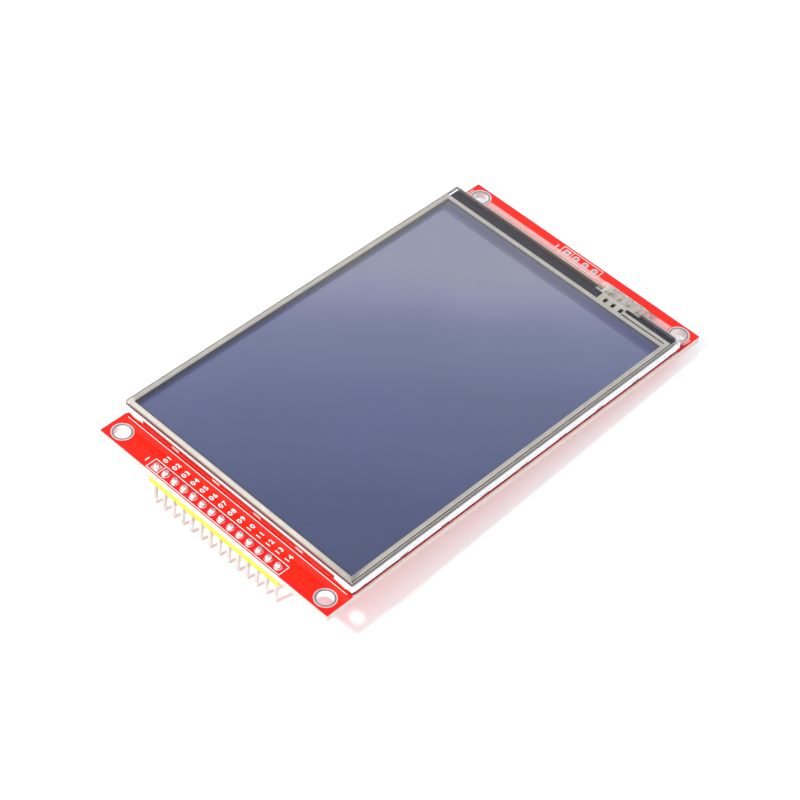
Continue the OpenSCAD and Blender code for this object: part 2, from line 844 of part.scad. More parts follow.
// A moulded chip body whose flanks slope in from the mid line where its leads leave.
module moulded_body(l, w, h, z) {
    slope = 0.12;
    intersection() {
        along(l) flank_outline(w, h, slope, z);
        across(w) flank_outline(l, h, slope, z);
    }
}

module flank_outline(w, h, slope, z) {
    polygon([[-w / 2 + slope, z], [w / 2 - slope, z], [w / 2, z - h / 2],
             [w / 2 - slope, z - h], [-w / 2 + slope, z - h], [-w / 2, z - h / 2]]);
}

// A gull-wing lead, t thick: out of the flank at z, then down to a foot on the board.
lead_lean = 0.1;
module gull_wing(w, reach, foot, z, t) {
    knee = reach - foot;
    across(w) polygon([[0, z], [knee, z], [knee + lead_lean, chip_z - t],
        [reach, chip_z - t], [reach, chip_z], [knee, chip_z],
        [knee - lead_lean, z + t], [0, z + t]]);
}

// The level of a lead's lower face where it leaves the middle of a body h high.
function lead_level(h, t) = chip_z - standoff - h / 2 - t / 2;

// Touch controller: sixteen leads in two rows.
touch_chip_at = [14, 16.5];
touch_chip_l = 5;
touch_chip_w = 4.4;
touch_chip_h = 1;
touch_chip_pitch = 0.65;
touch_chip_leads_per_side = 8;
touch_lead_w = 0.24;
touch_lead_reach = 1;
touch_lead_foot = 0.6;
standoff = 0.1;
thin_lead = 0.12;
thick_lead = 0.25;
module touch_chip() {
    color("#1f1f22") behind_header(touch_chip_at)
        moulded_body(touch_chip_w, touch_chip_l, touch_chip_h, chip_z - standoff);
}

module touch_chip_leads() {
    lead_z = lead_level(touch_chip_h, thin_lead);
    color("#cfcfcf") behind_header(touch_chip_at) for (turn = [0, 180]) rotate([0, 0, turn])
        row_places(touch_chip_leads_per_side, touch_chip_w / 2, touch_chip_pitch)
            gull_wing(touch_lead_w, touch_lead_reach, touch_lead_foot, lead_z, thin_lead);
}

// Regulator with a wide tab on one side and three leads on the other.
regulator_at = [-14, 14.5];
regulator_l = 6.5;
regulator_w = 3.5;
regulator_h = 1.6;
regulator_pitch = 2.3;
regulator_lead_w = 0.7;
regulator_tab_w = 3;
regulator_reach = 1.75;
regulator_foot = 0.9;
module regulator() {
    color("#1f1f22") behind_header(regulator_at)
        moulded_body(regulator_w, regulator_l, regulator_h, chip_z - standoff);
}

module regulator_leads() {
    lead_z = lead_level(regulator_h, thick_lead);
    color("#cfcfcf") behind_header(regulator_at) {
        row_places(3, regulator_w / 2, regulator_pitch)
            gull_wing(regulator_lead_w, regulator_reach, regulator_foot, lead_z, thick_lead);
        rotate([0, 0, 180]) translate([0, regulator_w / 2, 0])
            gull_wing(regulator_tab_w, regulator_reach, regulator_foot, lead_z, thick_lead);
    }
}

// Small switching transistor for the light bar.
transistor_at = [-2, 12.5];
transistor_l = 2.9;
transistor_w = 1.3;
transistor_h = 1;
transistor_pitch = 1.9;
transistor_lead_w = 0.4;
transistor_reach = 0.6;
transistor_foot = 0.3;
module transistor() {
    color("#1f1f22") behind_header(transistor_at)
        moulded_body(transistor_w, transistor_l, transistor_h, chip_z - standoff);
}

module transistor_leads() {
    lead_z = lead_level(transistor_h, thin_lead);
    color("#cfcfcf") behind_header(transistor_at) {
        row_places(2, transistor_w / 2, transistor_pitch)
            gull_wing(transistor_lead_w, transistor_reach, transistor_foot, lead_z, thin_lead);
        rotate([0, 0, 180]) translate([0, transistor_w / 2, 0])
            gull_wing(transistor_lead_w, transistor_reach, transistor_foot, lead_z, thin_lead);
    }
}

// Places of the chip resistors and capacitors, from the pin row or the socket's back.
header_resistors = [[4, 22], [4, 24], [4, 26], [-6, 22], [-6, 24]];
header_capacitors = [[-21, 17], [-21, 13], [20, 20], [10, 22]];
socket_resistors = [for (i = [0 : 4]) [-10 + 3 * i, 5]];
socket_capacitors = [[8, 5], [11, 5]];
chip_body_l = 1.6;
chip_end_l = 0.3;
resistor_w = 0.8;
resistor_h = 0.45;
capacitor_w = 1.2;
capacitor_l = 2;
capacitor_h = 0.9;

module placed(by_header, by_socket) {
    for (at = by_header) behind_header(at) children();
    for (at = by_socket) behind_socket(at) rotate([0, 0, 90]) children();
}

module chip_part(l, w, h) {
    slab(-l / 2 + chip_end_l, l / 2 - chip_end_l, -w / 2, w / 2, chip_z - h, chip_z);
}

module chip_caps(l, w, h) {
    for (s = [-1, 1]) translate([s * (l - chip_end_l) / 2, 0, 0])
        slab(-chip_end_l / 2, chip_end_l / 2, -w / 2, w / 2, chip_z - h, 0);
}

module resistors() {
    color("#2a2a2e") placed(header_resistors, socket_resistors)
        chip_part(chip_body_l, resistor_w, resistor_h);
}

module capacitors() {
    color("#b08a5c") placed(header_capacitors, socket_capacitors)
        chip_part(capacitor_l, capacitor_w, capacitor_h);
}

module chip_ends() {
    color("#d3d3d0") {
        placed(header_resistors, socket_resistors) chip_caps(chip_body_l, resistor_w, resistor_h);
        placed(header_capacitors, socket_capacitors) chip_caps(capacitor_l, capacitor_w, capacitor_h);
    }
}

board();
mounting_rings();
pin_lands();
spare_lands();
flex_lands();
header_strip();
header_pins();
solder_joints();
foam_tape();
steel_tray();
light_frame();
reflector_sheet();
light_guide();
diffuser_sheet();
prism_sheet();
led_flex();
leds();
shading_tape();
rear_polarizer();
panel_rear_glass();
panel_front_glass();
front_polarizer();
driver_chip();
panel_flex();
gasket();
touch_glass();
touch_conductors();
touch_film();
touch_tail();
tail_conductors();
socket_base();
socket_cover();
socket_contacts();
touch_chip();
touch_chip_leads();
regulator();
regulator_leads();
transistor();
transistor_leads();
resistors();
capacitors();
chip_ends();
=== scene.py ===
import math

import bpy
from mathutils import Matrix, Vector


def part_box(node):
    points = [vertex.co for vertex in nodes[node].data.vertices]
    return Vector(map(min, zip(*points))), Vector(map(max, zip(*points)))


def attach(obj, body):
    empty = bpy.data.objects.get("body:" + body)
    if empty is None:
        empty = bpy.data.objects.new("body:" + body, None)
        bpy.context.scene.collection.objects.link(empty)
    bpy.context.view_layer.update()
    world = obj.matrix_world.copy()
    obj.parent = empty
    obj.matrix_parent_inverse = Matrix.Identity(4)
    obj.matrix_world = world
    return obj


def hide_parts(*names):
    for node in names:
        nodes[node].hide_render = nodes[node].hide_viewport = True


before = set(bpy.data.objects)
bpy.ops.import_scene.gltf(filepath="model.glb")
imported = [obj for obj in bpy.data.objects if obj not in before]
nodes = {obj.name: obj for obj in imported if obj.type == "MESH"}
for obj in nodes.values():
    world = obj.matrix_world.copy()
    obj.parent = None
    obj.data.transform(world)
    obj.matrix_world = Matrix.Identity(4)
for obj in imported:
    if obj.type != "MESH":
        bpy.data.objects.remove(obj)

scene = bpy.context.scene
scene.view_settings.view_transform = "Standard"
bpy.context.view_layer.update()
mm = 0.001


# ---------------------------------------------------------------- camera
# The module is seen from above, from beyond the corner between its pin header and its
# right side, with a long lens.

camera_data = bpy.data.cameras.new("camera")
camera_data.sensor_width = 36
camera_data.lens = 111.94
camera_data.clip_start = 0.01
camera = bpy.data.objects.new("camera", camera_data)
camera.matrix_world = Matrix((
    (0.7192, -0.5437, 0.4327, 214.09 * mm),
    (0.6897, 0.4834, -0.5391, -268.95 * mm),
    (0.0839, 0.6861, 0.7226, 355.44 * mm),
    (0, 0, 0, 1)))
scene.collection.objects.link(camera)
scene.camera = camera


# ----------------------------------------------------------- floor and light
# The module lies on a white sheet, on the tips of its pins and the card socket's cover,
# so it leans a little towards the pins.


def colour(hex_code, alpha=1.0):
    """An sRGB hex colour as the linear values that a shader takes."""
    linear = []
    for i in (1, 3, 5):
        c = int(hex_code[i:i + 2], 16) / 255
        linear.append(c / 12.92 if c <= 0.04045 else ((c + 0.055) / 1.055) ** 2.4)
    return (*linear, alpha)


def add(tree, kind, inputs=None, **settings):
    """Adds a node with its settings. An input is a value, or the output it is linked to."""
    new = tree.nodes.new(kind)
    for name, value in settings.items():
        setattr(new, name, value)
    for name, value in (inputs or {}).items():
        if isinstance(value, bpy.types.NodeSocket):
            tree.links.new(value, new.inputs[name])
        else:
            new.inputs[name].default_value = value
    return new


def ramp(tree, fac, stops):
    """Adds a colour ramp through the given places and hex colours."""
    new = add(tree, "ShaderNodeValToRGB", {"Fac": fac})
    elements = new.color_ramp.elements
    elements.remove(elements[1])
    for i, (place, code) in enumerate(stops):
        stop = elements.new(place) if i else elements[0]
        stop.position = place
        stop.color = colour(code)
    return new.outputs["Color"]


def start_material(name):
    """A new material with an empty tree and its output node."""
    material = bpy.data.materials.new(name)
    material.use_nodes = True
    material.node_tree.nodes.clear()
    return material, material.node_tree, add(material.node_tree, "ShaderNodeOutputMaterial")


def close_material(tree, skin, out):
    """Ends a material's tree: the shader is its surface."""
    tree.links.new(skin.outputs[0], out.inputs["Surface"])


pin_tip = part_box("header_pins")
cover_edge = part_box("socket_cover")
tip_y, tip_z = pin_tip[0].y, pin_tip[0].z
cover_y, cover_z = cover_edge[1].y, cover_edge[0].z
floor_slope = (cover_z - tip_z) / (cover_y - tip_y)
floor_reach = 0.45
floor_mesh = bpy.data.meshes.new("floor")
floor_mesh.from_pydata(
    [(x, y, tip_z + (y - tip_y) * floor_slope - 0.02 * mm)
     for x, y in ((-floor_reach, -floor_reach), (floor_reach, -floor_reach),
                  (floor_reach, floor_reach), (-floor_reach, floor_reach))],
    [], [(0, 1, 2, 3)])
floor = bpy.data.objects.new("floor", floor_mesh)
scene.collection.objects.link(floor)

# White paper: matt, and lifted a little for the eye alone, so that it ends in pure white
# where nothing shades it.
paper, tree, out = start_material("white_paper")
rays = add(tree, "ShaderNodeLightPath")
seen = add(tree, "ShaderNodeMath", {0: rays.outputs["Is Camera Ray"], 1: rays.outputs["Is Glossy Ray"]},
           operation="MAXIMUM")
seen = add(tree, "ShaderNodeMath", {0: seen.outputs[0], 1: rays.outputs["Is Transmission Ray"]},
           operation="MAXIMUM")
lift = add(tree, "ShaderNodeMath", {0: seen.outputs[0], 1: 0.33}, operation="MULTIPLY")
glow = add(tree, "ShaderNodeEmission", {"Color": colour("#FFFFFF"), "Strength": lift.outputs[0]})
matt = add(tree, "ShaderNodeBsdfDiffuse", {"Color": colour("#EFF8F9"), "Roughness": 0.0})
both = add(tree, "ShaderNodeAddShader", {0: matt.outputs[0], 1: glow.outputs[0]})
close_material(tree, both, out)
floor_mesh.materials.append(paper)

# The studio: even light from all round. What the glossy parts mirror is white too, but
# for one grey card high up behind the module, which the screen mirrors.
studio = bpy.data.worlds.new("studio")
scene.world = studio
studio.use_nodes = True
tree = studio.node_tree
tree.nodes.clear()
rays = add(tree, "ShaderNodeLightPath")
direction = add(tree, "ShaderNodeTexCoord").outputs["Generated"]
cloud = add(tree, "ShaderNodeTexNoise", {"Vector": direction, "Scale": 9.0, "Detail": 2.0})
height = add(tree, "ShaderNodeVectorMath", {0: direction, 1: (0.045, 0.035, 1.0)},
             operation="DOT_PRODUCT").outputs["Value"]
wave = add(tree, "ShaderNodeMath", {0: cloud.outputs["Fac"], 1: 0.5}, operation="SUBTRACT")
height = add(tree, "ShaderNodeMath", {0: wave.outputs[0], 1: 0.02, 2: height}, operation="MULTIPLY_ADD")
card = ramp(tree, height.outputs[0], (
    (0.0, "#FFFFFF"), (0.684, "#FFFFFF"), (0.691, "#F1F0FF"), (0.696, "#DADBEE"),
    (0.700, "#CDD0E4"), (0.708, "#C1C6D8"), (0.714, "#B9BCCF"), (0.723, "#A9ADBC"),
    (0.740, "#9A9EA6"), (0.749, "#8E8F92"), (0.765, "#848681"), (1.0, "#848681")))
towards = add(tree, "ShaderNodeVectorMath", {0: direction, 1: (-0.62, 0.78, 0.0)},
              operation="DOT_PRODUCT")
inside = add(tree, "ShaderNodeMapRange", {"Value": towards.outputs["Value"], "From Min": 0.36,
                                          "From Max": 0.52}, interpolation_type="SMOOTHSTEP")
mirrored = add(tree, "ShaderNodeMix", {0: inside.outputs["Result"], 6: colour("#FFFFFF"), 7: card},
               data_type="RGBA").outputs[2]
even = add(tree, "ShaderNodeBackground", {"Color": colour("#F8F9FF"), "Strength": 0.68})
sweep = add(tree, "ShaderNodeBackground", {"Color": mirrored, "Strength": 1.0})
white = add(tree, "ShaderNodeBackground", {"Color": colour("#FFFFFF"), "Strength": 1.0})
shiny = add(tree, "ShaderNodeMath", {0: rays.outputs["Is Glossy Ray"],
                                     1: rays.outputs["Is Transmission Ray"]}, operation="MAXIMUM")
lit = add(tree, "ShaderNodeMixShader", {"Fac": shiny.outputs[0], 1: even.outputs[0], 2: sweep.outputs[0]})
all_rays = add(tree, "ShaderNodeMixShader", {"Fac": rays.outputs["Is Camera Ray"],
                                             1: lit.outputs[0], 2: white.outputs[0]})
out = add(tree, "ShaderNodeOutputWorld")
close_material(tree, all_rays, out)


def softbox(name, place, size, power):
    """A square lamp at a place in metres that faces the module."""
    lamp = bpy.data.lights.new(name, "AREA")
    lamp.size = size
    lamp.energy = power
    box = bpy.data.objects.new(name, lamp)
    box.location = place
    box.rotation_euler = (-Vector(place)).to_track_quat("-Z", "Y").to_euler()
    scene.collection.objects.link(box)


softbox("key_softbox", (-0.13, -0.60, 0.68), 0.11, 7.0)
softbox("side_softbox", (0.75, 0.15, 0.40), 0.40, 0.9)


# ------------------------------------------------------------- circuit board
# Glass-fibre laminate, cut from a panel, with red solder mask printed over the copper on
# both faces. The mask is glossy; the sawn edge shows the pale laminate.

low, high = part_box("board")
pin_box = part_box("header_pins")
row_y = (pin_box[0].y + pin_box[1].y) / 2 / mm


def dress(name, material):
    """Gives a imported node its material."""
    mesh = nodes[name].data
    mesh.materials.clear()
    mesh.materials.append(material)


def red_mask_shader(tree, out, red="#FB200A"):
    """Solder mask on the two faces, laminate between them, told apart by height."""
    place = add(tree, "ShaderNodeTexCoord").outputs["Object"]
    z = add(tree, "ShaderNodeSeparateXYZ", {0: place}).outputs["Z"]
    middle = add(tree, "ShaderNodeMath", {0: z, 1: (low.z + high.z) / 2}, operation="SUBTRACT")
    depth = add(tree, "ShaderNodeMath", {0: middle.outputs[0]}, operation="ABSOLUTE")
    face = add(tree, "ShaderNodeMath", {0: depth.outputs[0], 1: (high.z - low.z) / 2 - 0.04 * mm},
               operation="GREATER_THAN").outputs[0]
    # Mask thins over copper, so its red wanders slightly over centimetres.
    pour = add(tree, "ShaderNodeTexNoise", {"Vector": place, "Scale": 110.0, "Detail": 3.0})
    over_copper = ramp(tree, pour.outputs["Fac"], ((0.35, "#F41C07"), (0.65, red)))
    # The copper stops 0.6 mm short of the sawn edge, where the mask lies on bare laminate and
    # looks deeper. Along the row of pins the same deeper red is painted in, partly for the bare
    # laminate round the pins and partly as painted shade between the solder domes.
    folded = add(tree, "ShaderNodeVectorMath", {0: place}, operation="ABSOLUTE")
    inset = add(tree, "ShaderNodeVectorMath", {0: folded.outputs[0], 1: (high.x, high.y, 0)},
                operation="SUBTRACT")
    inset = add(tree, "ShaderNodeSeparateXYZ", {0: inset.outputs[0]}).outputs
    nearest = add(tree, "ShaderNodeMath", {0: inset["X"], 1: inset["Y"]}, operation="MAXIMUM")
    margin = add(tree, "ShaderNodeMapRange", {"Value": nearest.outputs[0], "From Min": -0.75 * mm,
                                              "From Max": -0.5 * mm})
    pin_row = add(tree, "ShaderNodeVectorMath", {0: place, 1: (0, row_y * mm, 0)}, operation="SUBTRACT")
    pin_row = add(tree, "ShaderNodeVectorMath", {0: pin_row.outputs[0]}, operation="ABSOLUTE")
    pin_row = add(tree, "ShaderNodeSeparateXYZ", {0: pin_row.outputs[0]}).outputs
    beside = add(tree, "ShaderNodeMapRange", {"Value": pin_row["Y"], "From Min": 1.35 * mm,
                                              "From Max": 1.2 * mm})
    along = add(tree, "ShaderNodeMath", {0: pin_row["X"], 1: 18.0 * mm}, operation="LESS_THAN")
    bare_and_shaded = add(tree, "ShaderNodeMath", {0: beside.outputs[0], 1: along.outputs[0]}, operation="MULTIPLY")
    bare_and_shaded = add(tree, "ShaderNodeMath", {0: bare_and_shaded.outputs[0], 1: margin.outputs[0]}, operation="MAXIMUM")
    bare_and_shaded = add(tree, "ShaderNodeMath", {0: bare_and_shaded.outputs[0], 1: 0.75}, operation="MULTIPLY")
    # The deeper red: bare laminate at the edge margin; along the pins, partly painted shade between the
    # domes.
    mask = add(tree, "ShaderNodeMix", {0: bare_and_shaded.outputs[0], 6: over_copper, 7: colour("#DD1720")},
               data_type="RGBA").outputs[2]
    # Glass bundles run along the cut, 0.15 mm thick, in the resin.
    stretch = add(tree, "ShaderNodeMapping", {"Vector": place, "Scale": (500.0, 500.0, 6500.0)})
    fibre = add(tree, "ShaderNodeTexNoise", {"Vector": stretch.outputs[0], "Scale": 1.0, "Detail": 2.0})
    laminate = ramp(tree, fibre.outputs["Fac"], ((0.3, "#DCC6BB"), (0.7, "#EEDCD2")))
    both = add(tree, "ShaderNodeMix", {0: face, 6: laminate, 7: mask}, data_type="RGBA")
    rough = add(tree, "ShaderNodeMapRange", {"Value": face, "To Min": 0.65, "To Max": 0.2})
    # Orange peel of the cured mask, about 0.5 mm across.
    peel = add(tree, "ShaderNodeTexNoise", {"Vector": place, "Scale": 2000.0, "Detail": 1.0})
    bump = add(tree, "ShaderNodeBump", {"Height": peel.outputs["Fac"], "Strength": 0.12,
                                        "Distance": 0.02 * mm})
    skin = add(tree, "ShaderNodeBsdfPrincipled", {
        "Base Color": both.outputs[2], "Roughness": rough.outputs["Result"],
        "Normal": bump.outputs["Normal"], "IOR": 1.4})
    close_material(tree, skin, out)


# Cured epoxy mask: hard gloss with a faint orange peel, over a dull fibrous edge.
solder_mask, tree, out = start_material("red_solder_mask")
red_mask_shader(tree, out)
dress("board", solder_mask)


# ---------------------------------------------------- traces and vias underneath
# Copper lines etched on the underside carry the signals from the pins to the chips and on
# to the card socket. Where one goes through the board there is a via, tented with mask.


def ribbon_tree(name, material):
    """A tree that lays a flat ribbon along the edges of a mesh, with rounded corners."""
    tree = bpy.data.node_groups.new(name, "GeometryNodeTree")
    face = tree.interface
    face.new_socket("Geometry", in_out="INPUT", socket_type="NodeSocketGeometry")
    for label in ("Width", "Thickness", "Corner radius"):
        face.new_socket(label, in_out="INPUT", socket_type="NodeSocketFloat")
    face.new_socket("Geometry", in_out="OUTPUT", socket_type="NodeSocketGeometry")
    source = add(tree, "NodeGroupInput").outputs
    path = add(tree, "GeometryNodeMeshToCurve", {"Mesh": source["Geometry"]})
    bends = add(tree, "GeometryNodeFilletCurve", {
        "Curve": path.outputs[0], "Radius": source["Corner radius"], "Count": 4,
        "Limit Radius": True}, mode="POLY")
    upright = add(tree, "GeometryNodeSetCurveNormal", {"Curve": bends.outputs[0]}, mode="Z_UP")
    section = add(tree, "GeometryNodeCurvePrimitiveQuadrilateral",
                  {"Width": source["Width"], "Height": source["Thickness"]})
    strip = add(tree, "GeometryNodeCurveToMesh", {
        "Curve": upright.outputs[0], "Profile Curve": section.outputs[0], "Fill Caps": True})
    real = add(tree, "GeometryNodeRealizeInstances", {"Geometry": strip.outputs[0]})
    inked = add(tree, "GeometryNodeSetMaterial", {"Geometry": real.outputs[0], "Material": material})
    sink = add(tree, "NodeGroupOutput")
    tree.links.new(inked.outputs[0], sink.inputs[0])
    return tree


def grow(name, tree, start, values):
    """Runs a tree on a start mesh with the given inputs and returns a plain mesh object."""
    piece = bpy.data.objects.new(name, start)
    scene.collection.objects.link(piece)
    modifier = piece.modifiers.new("grow", "NODES")
    modifier.node_group = tree
    sockets = {s.name: s.identifier for s in tree.interface.items_tree
               if s.item_type == "SOCKET" and s.in_out == "INPUT"}
    for label, value in values.items():
        modifier[sockets[label]] = value
    shaped = bpy.data.meshes.new_from_object(
        piece.evaluated_get(bpy.context.evaluated_depsgraph_get()))
    piece.modifiers.clear()
    piece.data = shaped
    shaped.name = name
    return piece


def lines_mesh(name, lines, z):
    """Polylines in millimetres, each (closed, points), as the edges of one mesh at height z."""
    points, edges = [], []
    for closed, line in lines:
        first = len(points)
        points += [(x * mm, y * mm, z) for x, y in line]
        edges += [(first + i, first + i + 1) for i in range(len(line) - 1)]
        if closed:
            edges.append((len(points) - 1, first))
    mesh = bpy.data.meshes.new(name)
    mesh.from_pydata(points, edges, [])
    return mesh


masked_copper, tree, out = start_material("mask_over_copper")
red_mask_shader(tree, out, red="#FF3A22")

pins = 14
pitch = 2.54
pin_xs = [(i - (pins - 1) / 2) * pitch for i in range(pins)]
spare_y = (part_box("spare_lands")[0].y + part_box("spare_lands")[1].y) / 2 / mm
start_y = row_y + 0.8

signals = []


def route(*points):
    """One signal line, in millimetres. Points in a straight run have no bend to round and are
    dropped."""
    bends = [b for a, b, c in zip(points, points[1:], points[2:])
             if abs((b[0] - a[0]) * (c[1] - b[1]) - (b[1] - a[1]) * (c[0] - b[0])) > 0.001]
    signals.append((False, [points[0], *bends, points[-1]]))


# Display lines: from the pins they jog into two bundles that run along the board.
for pin, lane, bend_y, end_x, end_y in (
        (2, -9.8, -49.5, -10, 17.3), (3, -9.0, -48.5, -7, 17.3), (4, -8.2, -49.5, -4, 17.3),
        (5, -7.4, -49.9, -1, 17.3), (6, 5.9, -49.9, 5.9, 16.0), (7, 6.7, -49.9, 6.7, 14.5),
        (8, 7.5, -49.9, 7.5, 13.0), (9, 8.3, -49.9, 8.3, 11.5)):
    x = pin_xs[pin]
    leave_y = end_y - 1.4 - abs(end_x - lane)
    route((x, start_y), (x, bend_y), (lane, bend_y + abs(x - lane)), (lane, leave_y),
          (end_x, leave_y + abs(end_x - lane)), (end_x, end_y))
# Touch lines: to the near row of the touch chip's leads.
for pin, lead_x, bend_y in ((10, 12.375, -46.9), (11, 13.675, -45.9), (12, 14.325, -42.0),
                            (13, 15.625, -43.0)):
    x = pin_xs[pin]
    route((x, start_y), (x, bend_y), (lead_x, bend_y + abs(x - lead_x)), (lead_x, -39.0))
# From the chip's far row to vias, and from the pull-up resistors to the bundles.
far_row_ends = [(12.375, -22.0), (13.675, -20.5), (14.975, -22.0)]
for lead_x, end_y in far_row_ends:
    route((lead_x, -33.0), (lead_x, end_y))
right_pull_ups = [(4, row_y + 22), (4, row_y + 24), (4, row_y + 26)]
left_pull_ups = [(-6, row_y + 22), (-6, row_y + 24)]
chip_end, to_via = 0.6, 1.8
for x, y in right_pull_ups:
    route((x + chip_end, y), (5.9, y))
    route((x - chip_end, y), (x - to_via, y))
for x, y in left_pull_ups:
    route((x - chip_end, y), (-7.4, y))
    route((x + chip_end, y), (x + to_via, y))
# Card lines: from the socket's contacts to its resistors, and from the spare holes down
# the socket's side.
socket_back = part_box("socket_contacts")[0].y / mm
for start_x, contact_x in ((-10, -10), (-7, -7.5), (-4, -5), (-1, -2.5), (2, 2.5), (8, 7.5), (11, 10)):
    drop = abs(start_x - contact_x)
    route((start_x, 19.0), (start_x, 20.2), (contact_x, 20.2 + drop), (contact_x, socket_back + 0.4))
side_lanes = [(-18.0, 18.0), (-17.2, 16.5), (-16.4, 15.0), (-15.6, 13.5)]
for i, (side_x, end_y) in enumerate(side_lanes):
    x, turn_y = (i - 1.5) * pitch, (50.9, 50.3, 49.7, 49.1)[i]
    route((x, spare_y - 0.7), (x, turn_y), (side_x + 0.8, turn_y), (side_x, turn_y - 0.8), (side_x, end_y))
supplies = [
    (False, ((pin_xs[0], start_y), (pin_xs[0], -46.0), (-16.3, -45.8), (-16.3, -41.0))),
    (False, ((pin_xs[1], start_y), (pin_xs[1], -41.2))),
    (False, ((-14.0, -34.8), (-14.0, -33.2), (-19.4, -33.2), (-20.3, -34.1), (-20.3, -35.4))),
    (False, ((-20.3, -36.0), (-20.3, -39.0))),
    (False, ((16.275, -33.0), (16.275, -31.6), (18.4, -31.6), (19.2, -32.4))),
    (False, ((-2.0, -38.9), (-2.0, -33.0))),
    (False, ((-21.7, -36.0), (-24.0, -36.0), (-24.0, -22.0))),
]
trace_t = 0.05 * mm
trace_z = low.z - trace_t * 0.4
etched = ribbon_tree("etched_line", masked_copper)
signal_traces = grow("signal_traces", etched, lines_mesh("signal_traces", signals, trace_z),
                     {"Width": 0.3 * mm, "Thickness": trace_t, "Corner radius": 0.2 * mm})
supply_traces = grow("supply_traces", etched, lines_mesh("supply_traces", supplies, trace_z),
                     {"Width": 0.8 * mm, "Thickness": trace_t, "Corner radius": 0.4 * mm})


def via_tree(name, material):
    """A tree that sets a low, flat-topped button of mask over the hole at every point."""
    tree = bpy.data.node_groups.new(name, "GeometryNodeTree")
    face = tree.interface
    face.new_socket("Geometry", in_out="INPUT", socket_type="NodeSocketGeometry")
    face.new_socket("Radius", in_out="INPUT", socket_type="NodeSocketFloat")
    face.new_socket("Height", in_out="INPUT", socket_type="NodeSocketFloat")
    face.new_socket("Geometry", in_out="OUTPUT", socket_type="NodeSocketGeometry")
    source = add(tree, "NodeGroupInput").outputs
    rim = add(tree, "ShaderNodeMath", {0: source["Radius"], 1: 0.75}, operation="MULTIPLY")
    button = add(tree, "GeometryNodeMeshCone", {
        "Vertices": 20, "Radius Top": source["Radius"], "Radius Bottom": rim.outputs[0],
        "Depth": source["Height"]})
    placed = add(tree, "GeometryNodeInstanceOnPoints", {"Points": source["Geometry"],
                                                        "Instance": button.outputs[0]})
    real = add(tree, "GeometryNodeRealizeInstances", {"Geometry": placed.outputs[0]})
    coated = add(tree, "GeometryNodeSetMaterial", {"Geometry": real.outputs[0], "Material": material})
    sink = add(tree, "NodeGroupOutput")
    tree.links.new(coated.outputs[0], sink.inputs[0])
    return tree


# At the ends of the signal lines, and where the two faces' ground copper is joined.
via_places = [(5.9, 16.0), (6.7, 14.5), (7.5, 13.0), (8.3, 11.5)] + side_lanes + far_row_ends
via_places += [(x - to_via, y) for x, y in right_pull_ups] + [(x + to_via, y) for x, y in left_pull_ups]
via_places += [(-2.0, -33.0), (-24.0, -22.0), (-24.0, 2.0), (24.0, 2.0), (24.0, 24.0), (-24.0, 24.0),
               (0.0, -8.0), (0.0, 6.0), (24.0, -20.0), (-22.0, -46.0), (22.0, -46.0), (20.8, 44.0),
               (-22.0, 44.0)]
vias_mesh = bpy.data.meshes.new("vias")
vias_mesh.from_pydata([(x * mm, y * mm, low.z - 0.07 * mm) for x, y in via_places], [], [])
vias = grow("vias", via_tree("tented_via", masked_copper), vias_mesh,
            {"Radius": 0.42 * mm, "Height": 0.08 * mm})
for piece in (signal_traces, supply_traces, vias):
    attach(piece, "root")


# --------------------------------------------------------- printed legend
# White ink screened on the mask: a box round each row of holes, the outline of the
# display, plain pin numbers and the outlines of the chips underneath.


def frame_line(x0, x1, y0, y1):
    return True, ((x0, y0), (x1, y0), (x1, y1), (x0, y1))


def numbers_mesh(name, labels, height, thickness, material):
    """Numbers in a plain face, as one mesh: each is (text, x, y, z, turn in degrees, flip), with
    x and y in millimetres. A flipped one reads from underneath."""
    joined = None
    for text, x, y, z, turn, flip in labels:
        face = bpy.data.curves.new("number", "FONT")
        face.body = text
        face.size = height * mm / 0.73
        face.extrude = thickness / 2
        face.offset = 0.03 * mm
        face.resolution_u = 3
        face.space_character = 1.2
        face.align_x, face.align_y = "CENTER", "CENTER"
        mark = bpy.data.objects.new("number", face)
        scene.collection.objects.link(mark)
        mesh = bpy.data.meshes.new_from_object(
            mark.evaluated_get(bpy.context.evaluated_depsgraph_get()))
        bpy.data.objects.remove(mark)
        mesh.transform(Matrix.Translation((x * mm, y * mm, z))
                       @ Matrix.Rotation(math.pi if flip else 0, 4, "Y")
                       @ Matrix.Rotation(math.radians(turn), 4, "Z"))
        piece = bpy.data.objects.new(name, mesh)
        scene.collection.objects.link(piece)
        if joined is None:
            joined = piece
        else:
            with bpy.context.temp_override(active_object=joined,
                                           selected_editable_objects=[joined, piece]):
                bpy.ops.object.join()
    joined.name = name
    joined.data.materials.clear()
    joined.data.materials.append(material)
    return joined


# Screen-printed epoxy ink: flat white, with thin spots where the mesh of the screen left less.
ink, tree, out = start_material("white_legend_ink")
place = add(tree, "ShaderNodeTexCoord").outputs["Object"]
thin = add(tree, "ShaderNodeTexNoise", {"Vector": place, "Scale": 4000.0, "Detail": 2.0})
shade = ramp(tree, thin.outputs["Fac"], ((0.25, "#F3E2DF"), (0.5, "#FFFDFB")))
skin = add(tree, "ShaderNodeBsdfPrincipled", {"Base Color": shade, "Roughness": 0.55})
close_material(tree, skin, out)

ink_t = 0.02 * mm
line_w, line_corner = 0.16 * mm, 0.12 * mm
number_h = 1.15
top_z = high.z + ink_t / 2
legend = ribbon_tree("ink_line", ink)

